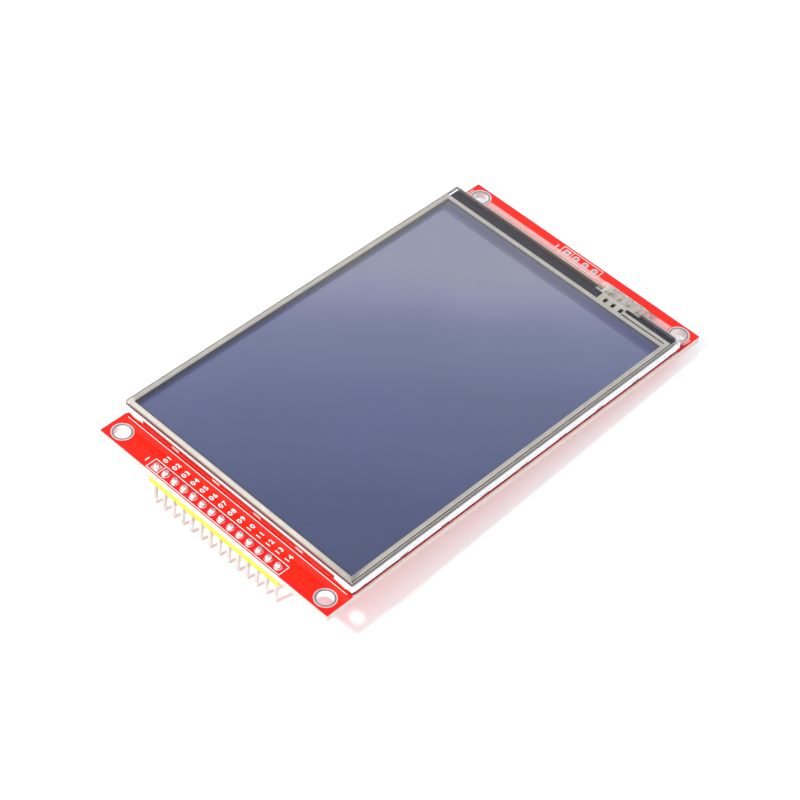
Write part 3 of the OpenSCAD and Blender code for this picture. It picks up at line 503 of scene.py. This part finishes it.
outline_lines = [
    (False, ((-29.8, -47.68), (29.7, -47.68))),
    (False, ((30.73, -47.2), (30.73, 46.9))),
    (False, ((-30.73, -47.2), (-30.73, 46.9))),
]
box_lines = [
    frame_line(-18.1, 18.0, row_y - 1.25, row_y + 1.45),
    (False, ((-15.3, row_y - 1.25), (-15.3, row_y + 1.45))),
    frame_line(-5.35, 5.2, spare_y - 1.35, spare_y + 1.3),
    (False, ((-2.6, spare_y - 1.35), (-2.6, spare_y + 1.3))),
]
top_lines = grow("legend_lines", legend, lines_mesh("legend_lines", outline_lines + box_lines, top_z),
                 {"Width": line_w, "Thickness": ink_t, "Corner radius": line_corner})
top_numbers = numbers_mesh(
    "legend_numbers",
    [(f"{i + 1:02d}", x, row_y + 2.85, top_z, 90, False) for i, x in enumerate(pin_xs)]
    + [("1", -19.3, row_y + 0.1, top_z, 0, False), ("1", -6.6, spare_y, top_z, 0, False)],
    number_h, ink_t, ink)

# Underneath, the ink runs over the traces, so it stands a little proud of them.
under_t = 0.07 * mm
under_z = low.z - under_t / 2
card_row = 18.32
capacitor_places = [(-21, row_y + 17), (-21, row_y + 13), (20, row_y + 20), (10, row_y + 22)]
under_outlines = [
    frame_line(-18.2, 18.2, row_y - 1.4, row_y + 1.45),
    frame_line(10.9, 17.1, -39.7, -32.3),
    frame_line(-17.9, -10.1, -42.0, -33.9),
    frame_line(-4.0, 0.0, -41.8, -38.1),
    frame_line(-5.35, 5.35, spare_y - 1.15, spare_y + 1.15),
    (False, ((-14.4, 22.0), (-14.4, 48.5), (14.4, 48.5), (14.4, 22.0))),
]
under_outlines += [frame_line(x - 1.1, x + 1.1, y - 0.75, y + 0.75)
                   for x, y in right_pull_ups + left_pull_ups]
under_outlines += [frame_line(x - 1.4, x + 1.4, y - 1.0, y + 1.0) for x, y in capacitor_places]
under_outlines += [frame_line(x - 0.75, x + 0.75, card_row - 1.2, card_row + 1.2)
                   for x in (-10, -7, -4, -1, 2)]
under_outlines += [frame_line(x - 1.0, x + 1.0, card_row - 1.4, card_row + 1.4) for x in (8, 11)]
under_lines = grow("under_lines", legend, lines_mesh("under_lines", under_outlines, under_z),
                   {"Width": line_w, "Thickness": under_t, "Corner radius": line_corner})
labels = [(f"{i + 1:02d}", x, row_y + 3.0, under_z, 90, True) for i, x in enumerate(pin_xs)]
labels += [("1", 18.4, -36.0, under_z, 0, True), ("2", -19.0, -37.5, under_z, 0, True),
           ("3", 1.2, -40.0, under_z, 0, True), ("4", -7.0, spare_y, under_z, 0, True),
           ("5", -15.9, 24.0, under_z, 0, True)]
labels += [(str(i + 1), x + 1.9 * (1 if x > 0 else -1), y, under_z, 0, True)
           for i, (x, y) in enumerate(capacitor_places[:3])]
labels += [(str(i + 6), x, card_row - 2.2, under_z, 0, True) for i, x in enumerate((2, 8, 11))]
under_numbers = numbers_mesh("under_numbers", labels, number_h, under_t, ink)
for piece in (top_lines, top_numbers, under_lines, under_numbers):
    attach(piece, "root")


# ------------------------------------------------- holes, lands and solder
# Copper lands and barrels with a bright tin finish, and soft-solder fillets that climb
# each pin. Dip-soldered joints set with a slightly uneven skin.


def metal(name, base, dark, roughness, grain_mm, dent, cloud_mm=2.0):
    """A bare metal: two close tones in clouds, and fine dents in its skin."""
    material, tree, out = start_material(name)
    place = add(tree, "ShaderNodeTexCoord").outputs["Object"]
    cloud = add(tree, "ShaderNodeTexNoise", {"Vector": place, "Scale": 1 / (cloud_mm * mm), "Detail": 3.0})
    tone = ramp(tree, cloud.outputs["Fac"], ((0.3, dark), (0.7, base)))
    rough = add(tree, "ShaderNodeMapRange", {
        "Value": cloud.outputs["Fac"], "From Min": 0.3, "From Max": 0.7,
        "To Min": roughness * 1.3, "To Max": roughness * 0.8})
    grain = add(tree, "ShaderNodeTexNoise", {"Vector": place, "Scale": 1 / (grain_mm * mm), "Detail": 2.0})
    bump = add(tree, "ShaderNodeBump", {"Height": grain.outputs["Fac"], "Strength": dent,
                                        "Distance": grain_mm * mm * 0.3})
    skin = add(tree, "ShaderNodeBsdfPrincipled", {
        "Base Color": tone, "Metallic": 1.0, "Roughness": rough.outputs["Result"],
        "Normal": bump.outputs["Normal"]})
    close_material(tree, skin, out)
    return material


# Hot-levelled tin: bright, slightly cloudy, never quite flat.
tin = metal("levelled_tin", "#FAF9F7", "#ECEAE8", 0.42, 0.6, 0.3)
for name in ("pin_lands", "spare_lands"):
    dress(name, tin)

# The ring round each screw hole: its inner lip is painted darker and greyer than its face, as painted shade
# where the face turns down into the hole.
tin_with_shaded_lip, tree, out = start_material("tin_with_shaded_lip")
place = add(tree, "ShaderNodeTexCoord").outputs["Object"]
ring_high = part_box("mounting_rings")[1]
ring_r = 2.3 * mm
ring_x, ring_y = ring_high.x - ring_r, ring_high.y - ring_r
folded = add(tree, "ShaderNodeVectorMath", {0: place}, operation="ABSOLUTE")
away = add(tree, "ShaderNodeVectorMath", {0: folded.outputs[0], 1: (ring_x, ring_y, 0)},
           operation="SUBTRACT")
flat = add(tree, "ShaderNodeVectorMath", {0: away.outputs[0], 1: (1, 1, 0)}, operation="MULTIPLY")
radius = add(tree, "ShaderNodeVectorMath", {0: flat.outputs[0]}, operation="LENGTH")
z = add(tree, "ShaderNodeSeparateXYZ", {0: place}).outputs["Z"]
depth = add(tree, "ShaderNodeMath", {0: z, 1: (low.z + high.z) / 2}, operation="SUBTRACT")
depth = add(tree, "ShaderNodeMath", {0: depth.outputs[0]}, operation="ABSOLUTE")
face = add(tree, "ShaderNodeMath", {0: depth.outputs[0], 1: (high.z - low.z) / 2},
           operation="GREATER_THAN")
shaded_lip = add(tree, "ShaderNodeMapRange", {"Value": radius.outputs["Value"], "From Min": 1.98 * mm,
                                       "From Max": 2.08 * mm, "To Min": 1.0, "To Max": 0.0})
shaded_lip = add(tree, "ShaderNodeMath", {0: shaded_lip.outputs[0], 1: face.outputs[0]}, operation="MULTIPLY")
cloud = add(tree, "ShaderNodeTexNoise", {"Vector": place, "Scale": 900.0, "Detail": 3.0})
bright = ramp(tree, cloud.outputs["Fac"], ((0.3, "#E9E6E4"), (0.7, "#F8F6F3")))
# Painted shade: the darker grey band at the hole's edge.
lip_shade = ramp(tree, cloud.outputs["Fac"], ((0.3, "#8D8E9A"), (0.7, "#A5A5AE")))
tone = add(tree, "ShaderNodeMix", {0: shaded_lip.outputs[0], 6: bright, 7: lip_shade}, data_type="RGBA")
bump = add(tree, "ShaderNodeBump", {"Height": cloud.outputs["Fac"], "Strength": 0.25,
                                    "Distance": 0.2 * mm})
skin = add(tree, "ShaderNodeBsdfPrincipled", {"Base Color": tone.outputs[2], "Metallic": 0.85,
                                              "Roughness": 0.36, "Normal": bump.outputs["Normal"]})
close_material(tree, skin, out)
dress("mounting_rings", tin_with_shaded_lip)

# Soft solder: brighter and wavier than the tin, with small mirrored spots.
solder = metal("soft_solder", "#F7F5F0", "#DCD8D2", 0.16, 0.5, 0.5, 0.8)
dress("solder_joints", solder)


def joint_tree(name, material):
    """A tree that sets one joint on each pin of a row, each turned and stretched differently."""
    tree = bpy.data.node_groups.new(name, "GeometryNodeTree")
    face = tree.interface
    face.new_socket("Geometry", in_out="INPUT", socket_type="NodeSocketGeometry")
    face.new_socket("Pins", in_out="INPUT", socket_type="NodeSocketInt")
    face.new_socket("First pin", in_out="INPUT", socket_type="NodeSocketVector")
    face.new_socket("Step", in_out="INPUT", socket_type="NodeSocketVector")
    face.new_socket("Geometry", in_out="OUTPUT", socket_type="NodeSocketGeometry")
    source = add(tree, "NodeGroupInput").outputs
    row = add(tree, "GeometryNodeMeshLine", {
        "Count": source["Pins"], "Start Location": source["First pin"], "Offset": source["Step"]})
    turn = add(tree, "FunctionNodeRandomValue", {
        0: (-0.09, -0.09, 0.0), 1: (0.09, 0.09, 6.28), "Seed": 3}, data_type="FLOAT_VECTOR")
    size = add(tree, "FunctionNodeRandomValue", {
        0: (0.92, 0.92, 0.82), 1: (1.04, 1.04, 1.05), "Seed": 8}, data_type="FLOAT_VECTOR")
    set_down = add(tree, "GeometryNodeInstanceOnPoints", {
        "Points": row.outputs[0], "Instance": source["Geometry"], "Rotation": turn.outputs[0],
        "Scale": size.outputs[0]})
    real = add(tree, "GeometryNodeRealizeInstances", {"Geometry": set_down.outputs[0]})
    smooth = add(tree, "GeometryNodeSetShadeSmooth", {0: real.outputs[0]})
    coated = add(tree, "GeometryNodeSetMaterial", {"Geometry": smooth.outputs[0], "Material": material})
    sink = add(tree, "NodeGroupOutput")
    tree.links.new(coated.outputs[0], sink.inputs[0])
    return tree


def turned_mesh(name, profile, around):
    """A closed solid of revolution about Z, from (radius, height) pairs in millimetres."""
    angles = [2 * math.pi * i / around for i in range(around)]
    points = [(r * mm * math.cos(a), r * mm * math.sin(a), h * mm) for r, h in profile for a in angles]
    rows = len(profile)
    faces = [(j * around + i, j * around + (i + 1) % around, (j + 1) * around + (i + 1) % around,
              (j + 1) * around + i) for j in range(rows - 1) for i in range(around)]
    faces.append(tuple(reversed(range(around))))
    faces.append(tuple(range((rows - 1) * around, rows * around)))
    mesh = bpy.data.meshes.new(name)
    mesh.from_pydata(points, [], faces)
    return mesh


# A dipped joint is a dome that climbs the pin to just under its tip.
land_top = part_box("pin_lands")[1].z
tip_rise = (pin_box[1].z - land_top) / mm
dome = [(0.74, -0.25), (0.8, 0.0), (0.79, 0.14), (0.74, 0.36), (0.65, 0.58), (0.53, 0.77), (0.4, 0.9),
        (0.26, min(1.0, tip_rise - 0.12)), (0.1, min(1.04, tip_rise - 0.08))]
solder_domes = grow("solder_domes", joint_tree("dipped_joints", solder), turned_mesh("dome", dome, 24),
                    {"Pins": pins, "First pin": (pin_xs[0] * mm, row_y * mm, land_top),
                     "Step": (pitch * mm, 0.0, 0.0)})
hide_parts("solder_joints")
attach(solder_domes, "root")

# Flash gold over nickel: pale and thin.
gold = metal("flash_gold", "#E3C486", "#CFAF72", 0.26, 0.5, 0.15)
dress("flex_lands", gold)


# ------------------------------------------------------------- pin header
# A break-off strip moulded in yellow nylon, with square drawn pins pressed through it.
# The flutes between the blocks are where the strip is snapped to length.


def moulded(name, base, dark, roughness, grain_mm=0.12, dent=0.15, subsurface=0.0):
    """A moulded plastic: an even colour with slight flow clouds, and a fine spark-eroded grain."""
    material, tree, out = start_material(name)
    place = add(tree, "ShaderNodeTexCoord").outputs["Object"]
    flow = add(tree, "ShaderNodeTexNoise", {"Vector": place, "Scale": 1 / (3 * mm), "Detail": 2.0})
    tone = ramp(tree, flow.outputs["Fac"], ((0.3, dark), (0.7, base)))
    grain = add(tree, "ShaderNodeTexNoise", {"Vector": place, "Scale": 1 / (grain_mm * mm), "Detail": 2.0})
    rough = add(tree, "ShaderNodeMapRange", {"Value": grain.outputs["Fac"], "To Min": roughness * 0.85,
                                             "To Max": roughness * 1.15})
    bump = add(tree, "ShaderNodeBump", {"Height": grain.outputs["Fac"], "Strength": dent,
                                        "Distance": grain_mm * mm * 0.2})
    skin = add(tree, "ShaderNodeBsdfPrincipled", {
        "Base Color": tone, "Roughness": rough.outputs["Result"], "Normal": bump.outputs["Normal"],
        "Subsurface Weight": subsurface, "Subsurface Scale": 0.4 * mm,
        "Subsurface Radius": (1.0, 0.9, 0.6)})
    close_material(tree, skin, out)
    return material


# Nylon with a strong yellow dye: half matt, slightly translucent.
yellow_nylon = moulded("yellow_nylon", "#FFE726", "#F8DE1E", 0.42, subsurface=0.1)
dress("header_strip", yellow_nylon)

# Drawn brass pin under a thin, pale gold flash.
pin_metal = metal("plated_pin", "#DDD8D5", "#C9C1BE", 0.34, 0.3, 0.12)
dress("header_pins", pin_metal)


# ----------------------------------------------------- tray and moulded frame
# A tray folded from bright steel strip carries the backlight. Its corners are open and
# its walls are pierced with windows, into which the white frame's latches snap.

# Bright-rolled steel: almost a mirror, but with a slow waviness that breaks up what it mirrors.
steel, tree, out = start_material("bright_rolled_steel")
place = add(tree, "ShaderNodeTexCoord").outputs["Object"]
rolled = add(tree, "ShaderNodeMapping", {"Vector": place, "Scale": (60.0, 900.0, 900.0)})
lines = add(tree, "ShaderNodeTexNoise", {"Vector": rolled.outputs[0], "Scale": 1.0, "Detail": 3.0})
waves = add(tree, "ShaderNodeTexNoise", {"Vector": place, "Scale": 260.0, "Detail": 2.0})
tone = ramp(tree, lines.outputs["Fac"], ((0.3, "#BFC1C4"), (0.7, "#D5D7D9")))
rough = add(tree, "ShaderNodeMapRange", {"Value": lines.outputs["Fac"], "To Min": 0.05, "To Max": 0.11})
mixed = add(tree, "ShaderNodeMath", {0: lines.outputs["Fac"], 1: 0.25, 2: waves.outputs["Fac"]},
            operation="MULTIPLY_ADD")
bump = add(tree, "ShaderNodeBump", {"Height": mixed.outputs[0], "Strength": 0.07, "Distance": 0.25 * mm})
skin = add(tree, "ShaderNodeBsdfPrincipled", {"Base Color": tone, "Metallic": 1.0,
                                              "Roughness": rough.outputs["Result"],
                                              "Normal": bump.outputs["Normal"]})
close_material(tree, skin, out)
dress("steel_tray", steel)
dress("socket_cover", steel)

# White polycarbonate: clean gloss, lets a little light in at its edges.
white_pc = moulded("white_polycarbonate", "#FBFAF6", "#F4F2EC", 0.3, subsurface=0.15)
for name in ("light_frame", "reflector_sheet", "diffuser_sheet", "leds"):
    dress(name, white_pc)

# Closed-cell foam tape: black and dull, with pores.
foam = moulded("black_foam", "#1B1B1D", "#101012", 0.85, 0.2, 0.8)
dress("foam_tape", foam)


# ------------------------------------------------------------- flexible circuits
# The panel's circuit is copper between two amber polyimide films; the touch screen's tail
# is clear polyester with four printed silver lines. Both turn down round the frame's end
# and are soldered under the tray.

# Polyimide over copper: glossy amber film, with the copper lines showing lighter through it.
amber, tree, out = start_material("amber_polyimide")
place = add(tree, "ShaderNodeTexCoord").outputs["Object"]
x = add(tree, "ShaderNodeSeparateXYZ", {0: place}).outputs["X"]
# Copper lines 0.45 mm apart, as coarse as they need to be to show.
turns = add(tree, "ShaderNodeMath", {0: x, 1: 2 * math.pi / (0.45 * mm)}, operation="MULTIPLY")
comb = add(tree, "ShaderNodeMath", {0: turns.outputs[0]}, operation="SINE")
tone = ramp(tree, comb.outputs[0], ((0.0, "#A9744A"), (0.4, "#C99B6C")))
bump = add(tree, "ShaderNodeBump", {"Height": comb.outputs[0], "Strength": 0.3, "Distance": 0.02 * mm})
skin = add(tree, "ShaderNodeBsdfPrincipled", {"Base Color": tone, "Roughness": 0.25,
                                              "Normal": bump.outputs["Normal"], "Coat Weight": 0.3})
close_material(tree, skin, out)
dress("panel_flex", amber)
dress("led_flex", amber)

# Printed silver ink: flakes in a binder, so grey-beige and almost matt.
silver, tree, out = start_material("printed_silver")
place = add(tree, "ShaderNodeTexCoord").outputs["Object"]
spot = add(tree, "ShaderNodeSeparateXYZ", {0: place}).outputs
flow = add(tree, "ShaderNodeTexNoise", {"Vector": place, "Scale": 330.0, "Detail": 2.0}).outputs["Fac"]
silver_ink = ramp(tree, flow, ((0.3, "#ACA79C"), (0.7, "#B8B3AA")))
# The paler tone is a painted highlight, not a different ink.
highlight_ink = ramp(tree, flow, ((0.3, "#D3CCBE"), (0.7, "#E0D9CB")))
# The bar along the pins is painted paler than the rest of the silver, fading back to it over the last 14 mm
# towards its +X end: a painted highlight of the lamps on it.
silver_low, silver_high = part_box("touch_conductors")
near_bar = add(tree, "ShaderNodeMapRange", {"Value": spot["Y"], "From Min": silver_low.y + 1.6 * mm,
                                         "From Max": silver_low.y + 1.1 * mm})
highlight_run_out = add(tree, "ShaderNodeMapRange", {"Value": spot["X"], "From Min": silver_high.x - 1.5 * mm,
                                           "From Max": silver_high.x - 14 * mm})
share = add(tree, "ShaderNodeMath", {0: near_bar.outputs[0], 1: highlight_run_out.outputs[0]}, operation="MULTIPLY")
tone = add(tree, "ShaderNodeMix", {0: share.outputs[0], 6: silver_ink, 7: highlight_ink}, data_type="RGBA")
flakes = add(tree, "ShaderNodeTexNoise", {"Vector": place, "Scale": 1 / (0.1 * mm), "Detail": 2.0})
rough = add(tree, "ShaderNodeMapRange", {"Value": flakes.outputs["Fac"], "To Min": 0.34, "To Max": 0.46})
bump = add(tree, "ShaderNodeBump", {"Height": flakes.outputs["Fac"], "Strength": 0.25,
                                    "Distance": 0.02 * mm})
skin = add(tree, "ShaderNodeBsdfPrincipled", {
    "Base Color": tone.outputs[2], "Roughness": rough.outputs["Result"],
    "Normal": bump.outputs["Normal"]})
close_material(tree, skin, out)
dress("touch_conductors", silver)


def clear_sheet(name, mirror, tint, edge, roughness, haze=0.0, coated=None, waves=0.0,
                shaded_edge_heights=None):
    """A clear flat sheet: it mirrors the given share, more at a glance, and passes the rest
    straight. Its cut edge is cloudy. The coated part, (low x, high x, low y, high y, share),
    mirrors another share. Where two heights are given, the edge is painted dark at the lower one and light
    at the upper one, as painted shade under the sheet."""
    material, tree, out = start_material(name)
    spot = add(tree, "ShaderNodeTexCoord").outputs
    tilt = add(tree, "ShaderNodeSeparateXYZ", {0: spot["Normal"]})
    flat = add(tree, "ShaderNodeMath", {0: tilt.outputs["Z"]}, operation="ABSOLUTE")
    cut = add(tree, "ShaderNodeMath", {0: flat.outputs[0], 1: 0.5}, operation="LESS_THAN")
    glance = add(tree, "ShaderNodeLayerWeight", {"Blend": 0.5})
    steep = add(tree, "ShaderNodeMath", {0: glance.outputs["Facing"], 1: 5.0}, operation="POWER")
    share = add(tree, "ShaderNodeMapRange", {"Value": steep.outputs[0], "To Min": mirror, "To Max": 1.0})
    if coated:
        x0, x1, y0, y1, coat = coated
        away = add(tree, "ShaderNodeVectorMath", {0: spot["Object"], 1: ((x0 + x1) / 2, (y0 + y1) / 2, 0)},
                   operation="SUBTRACT")
        away = add(tree, "ShaderNodeVectorMath", {0: away.outputs[0]}, operation="ABSOLUTE")
        away = add(tree, "ShaderNodeSeparateXYZ", {0: away.outputs[0]}).outputs
        across = add(tree, "ShaderNodeMath", {0: away["X"], 1: (x1 - x0) / 2}, operation="LESS_THAN")
        along = add(tree, "ShaderNodeMath", {0: away["Y"], 1: (y1 - y0) / 2}, operation="LESS_THAN")
        inside = add(tree, "ShaderNodeMath", {0: across.outputs[0], 1: along.outputs[0]},
                     operation="MULTIPLY")
        least = add(tree, "ShaderNodeMapRange", {"Value": inside.outputs[0], "To Min": mirror,
                                                 "To Max": coat})
        tree.links.new(least.outputs[0], share.inputs["To Min"])
    through = add(tree, "ShaderNodeBsdfTransparent", {"Color": colour(tint)})
    veil = add(tree, "ShaderNodeBsdfDiffuse", {"Color": colour("#F4F4F4")})
    body = add(tree, "ShaderNodeMixShader", {"Fac": haze, 1: through.outputs[0], 2: veil.outputs[0]})
    gloss = add(tree, "ShaderNodeBsdfAnisotropic", {"Color": colour("#FFFFFF"), "Roughness": roughness})
    if waves:
        # Film that was bent by hand keeps soft buckles some 2 mm across.
        buckle = add(tree, "ShaderNodeTexNoise", {"Vector": spot["Object"], "Scale": 420.0, "Detail": 1.0})
        bent = add(tree, "ShaderNodeBump", {"Height": buckle.outputs["Fac"], "Strength": waves,
                                            "Distance": 1.2 * mm})
        tree.links.new(bent.outputs["Normal"], gloss.inputs["Normal"])
    face = add(tree, "ShaderNodeMixShader",
               {"Fac": share.outputs["Result"], 1: body.outputs[0], 2: gloss.outputs[0]})
    rind = colour(edge)
    if shaded_edge_heights:
        # The edge is painted dark towards the lower height and light towards the upper: painted shade under
        # the sheet's edge.
        level = add(tree, "ShaderNodeSeparateXYZ", {0: spot["Object"]})
        climb = add(tree, "ShaderNodeMapRange", {"Value": level.outputs["Z"], "From Min": shaded_edge_heights[0],
                                                 "From Max": shaded_edge_heights[1]})
        rind = ramp(tree, climb.outputs["Result"], ((0.0, "#221A1D"), (0.45, "#3A2D30"), (0.72, "#75655E"),
                                                    (0.88, edge)))
    ground = add(tree, "ShaderNodeBsdfPrincipled", {"Base Color": rind, "Roughness": 0.35, "Alpha": 0.85})
    whole = add(tree, "ShaderNodeMixShader",
                {"Fac": cut.outputs[0], 1: face.outputs[0], 2: ground.outputs[0]})
    close_material(tree, whole, out)
    return material


# Clear polyester: thin and slightly milky, so the light picks out its bend.
polyester = clear_sheet("clear_polyester", 0.10, "#FFFBF6", "#F0E6DC", 0.08, 0.08, waves=0.5)
dress("touch_tail", polyester)
dress("prism_sheet", polyester)

# The silver lines are printed on the film's far face, so they show through it, in patches
# that are greyer and fainter, or paler and denser.
thin_silver, tree, out = start_material("silver_under_film")
place = add(tree, "ShaderNodeTexCoord").outputs["Object"]
drawn = add(tree, "ShaderNodeMapping", {"Vector": place, "Scale": (520.0, 160.0, 160.0)})
patch = add(tree, "ShaderNodeTexNoise", {"Vector": drawn.outputs[0], "Scale": 1.0, "Detail": 2.0})
tone = ramp(tree, patch.outputs["Fac"], ((0.3, "#BDB9B4"), (0.7, "#E2DDD8")))
cover = add(tree, "ShaderNodeMapRange", {"Value": patch.outputs["Fac"], "From Min": 0.3, "From Max": 0.7,
                                         "To Min": 0.25, "To Max": 0.65})
bump = add(tree, "ShaderNodeBump", {"Height": patch.outputs["Fac"], "Strength": 0.4, "Distance": 0.8 * mm})
skin = add(tree, "ShaderNodeBsdfPrincipled", {"Base Color": tone, "Roughness": 0.14,
                                              "Alpha": cover.outputs["Result"],
                                              "Normal": bump.outputs["Normal"]})
close_material(tree, skin, out)
dress("tail_conductors", thin_silver)

# A strip of milky adhesive film lies on the board past the two bends, cut out round the
# corner rings.
strip_x, strip_near, strip_far = 30.4 * mm, 49.45 * mm, 51.7 * mm
ring_clear = 2.5 * mm
strip_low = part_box("spare_lands")[1].z + 0.01 * mm
reach = math.asin((strip_far - ring_y) / ring_clear)
arc = [math.pi - reach + (math.pi + 2 * reach) * i / 24 for i in range(25)]
bite = [(ring_x + ring_clear * math.cos(a), ring_y + ring_clear * math.sin(a)) for a in arc]
rim = ([(-strip_x, strip_near), (strip_x, strip_near), (strip_x, strip_far)] + bite[::-1]
       + [(-x, y) for x, y in bite] + [(-strip_x, strip_far)])
count = len(rim)
strip_mesh = bpy.data.meshes.new("far_film")
strip_mesh.from_pydata(
    [(x, y, strip_low + rise) for rise in (0, 0.02 * mm) for x, y in rim], [],
    [tuple(reversed(range(count))), tuple(range(count, 2 * count))]
    + [(i, (i + 1) % count, count + (i + 1) % count, count + i) for i in range(count)])
far_film = bpy.data.objects.new("far_film", strip_mesh)
scene.collection.objects.link(far_film)
# Adhesive film: half milky, so that the red under it shows pink.
strip_mesh.materials.append(clear_sheet("milky_adhesive_film", 0.08, "#FFFCF9", "#F6E9E4", 0.12, 0.24))
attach(far_film, "root")


# --------------------------------------------------------- backlight and panel
# Inside the tray lie a light guide, its films and the liquid-crystal panel: two thin
# sheets of glass between two polarizers, the upper one smoke blue.

guide = clear_sheet("clear_acrylic", 0.04, "#F2FAFA", "#D6E6E4", 0.05)
dress("light_guide", guide)
cell_glass = clear_sheet("panel_glass", 0.04, "#D5E2DE", "#8FA6A0", 0.03)
dress("panel_rear_glass", cell_glass)
dress("panel_front_glass", cell_glass)

# Black adhesive tape: dense and dull.
black_tape = moulded("black_tape", "#1C1A2E", "#151325", 0.5, 0.3, 0.1)
dress("gasket", black_tape)
dress("shading_tape", black_tape)

# Moulding compound round the driver: near black.
black_resin = moulded("black_resin", "#232326", "#1A1A1C", 0.55, 0.08, 0.4)
dress("driver_chip", black_resin)

# Polarizing film over the panel's dark border: smoke blue with a hard coat.
polarizer, tree, out = start_material("smoke_polarizer")
place = add(tree, "ShaderNodeTexCoord").outputs["Object"]
drift = add(tree, "ShaderNodeTexNoise", {"Vector": place, "Scale": 25.0, "Detail": 2.0})
tone = ramp(tree, drift.outputs["Fac"], ((0.3, "#2F336A"), (0.7, "#333771")))
skin = add(tree, "ShaderNodeBsdfPrincipled", {"Base Color": tone, "Roughness": 0.05, "IOR": 1.57})
close_material(tree, skin, out)
dress("front_polarizer", polarizer)
dress("rear_polarizer", polarizer)

# The display cells under the polarizer: blue-black, with metal lines that mirror more than
# the border does. Drawn as one thin sheet on the polarizer.
film_low, film_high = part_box("front_polarizer")
active_w, active_l = 57.4 * mm, 85.5 * mm
active_near = film_low.y + 0.6 * mm
cells_x, cells_y = active_w / 2, active_near + active_l
cells_mesh = bpy.data.meshes.new("display_cells")
sheet_z = (film_high.z + 0.005 * mm, film_high.z + 0.02 * mm)
corners = ((-cells_x, active_near), (cells_x, active_near), (cells_x, cells_y), (-cells_x, cells_y))
cells_mesh.from_pydata([(x, y, z) for z in sheet_z for x, y in corners], [],
                       [(3, 2, 1, 0), (4, 5, 6, 7), (0, 1, 5, 4), (1, 2, 6, 5), (2, 3, 7, 6), (3, 0, 4, 7)])
display_cells = bpy.data.objects.new("display_cells", cells_mesh)
scene.collection.objects.link(display_cells)
cells, tree, out = start_material("liquid_crystal_cells")
place = add(tree, "ShaderNodeTexCoord").outputs["Object"]
drift = add(tree, "ShaderNodeTexNoise", {"Vector": place, "Scale": 30.0, "Detail": 3.0})
tone = ramp(tree, drift.outputs["Fac"], ((0.3, "#3B487C"), (0.7, "#404D84")))
skin = add(tree, "ShaderNodeBsdfPrincipled", {"Base Color": tone, "Roughness": 0.05, "IOR": 2.47})
close_material(tree, skin, out)
cells_mesh.materials.append(cells)
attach(display_cells, "root")


# ------------------------------------------------------------- touch screen
# A sheet of float glass and a polyester film, both with a clear conductive coating, held
# apart by the printed silver border. The glass edge's lower half is painted dark, as painted shade.

glass_low, glass_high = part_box("touch_glass")
coated_glass = clear_sheet("coated_float_glass", 0.01, "#FEFEFE", "#C4B5AA", 0.02,
                           shaded_edge_heights=(glass_low.z, glass_high.z))
dress("touch_glass", coated_glass)
# The conductive coating covers only the window inside the silver, and mirrors more.
window = (silver_low.x + 0.5 * mm, silver_high.x - 0.5 * mm, silver_low.y + 0.5 * mm, 42.6 * mm, 0.078)
hard_coat = clear_sheet("hard_coated_film", 0.014, "#FEFEFE", "#D4D0CA", 0.03, coated=window)
dress("touch_film", hard_coat)


# --------------------------------------------------------------- card socket
# Under the far end: a black liquid-crystal polymer base with gold-flashed spring contacts,
# and a stamped steel cover with two spring tongues.

dress("socket_base", black_resin)
dress("socket_contacts", gold)


# ------------------------------------------------------------ chips underneath
# A touch controller, a regulator, a transistor and chip resistors and capacitors, all
# reflow-soldered to the underside.

for name in ("touch_chip", "regulator", "transistor"):
    dress(name, black_resin)
for name in ("touch_chip_leads", "regulator_leads", "transistor_leads", "chip_ends"):
    dress(name, tin)

# Resistor glaze: black glass over the resistive track.
glaze = moulded("black_glaze", "#1C1C20", "#141416", 0.2, 0.1, 0.1)
dress("resistors", glaze)
# Fired ceramic: tan and even.
ceramic = moulded("fired_ceramic", "#B08D62", "#9C7A50", 0.5, 0.1, 0.2)
dress("capacitors", ceramic)
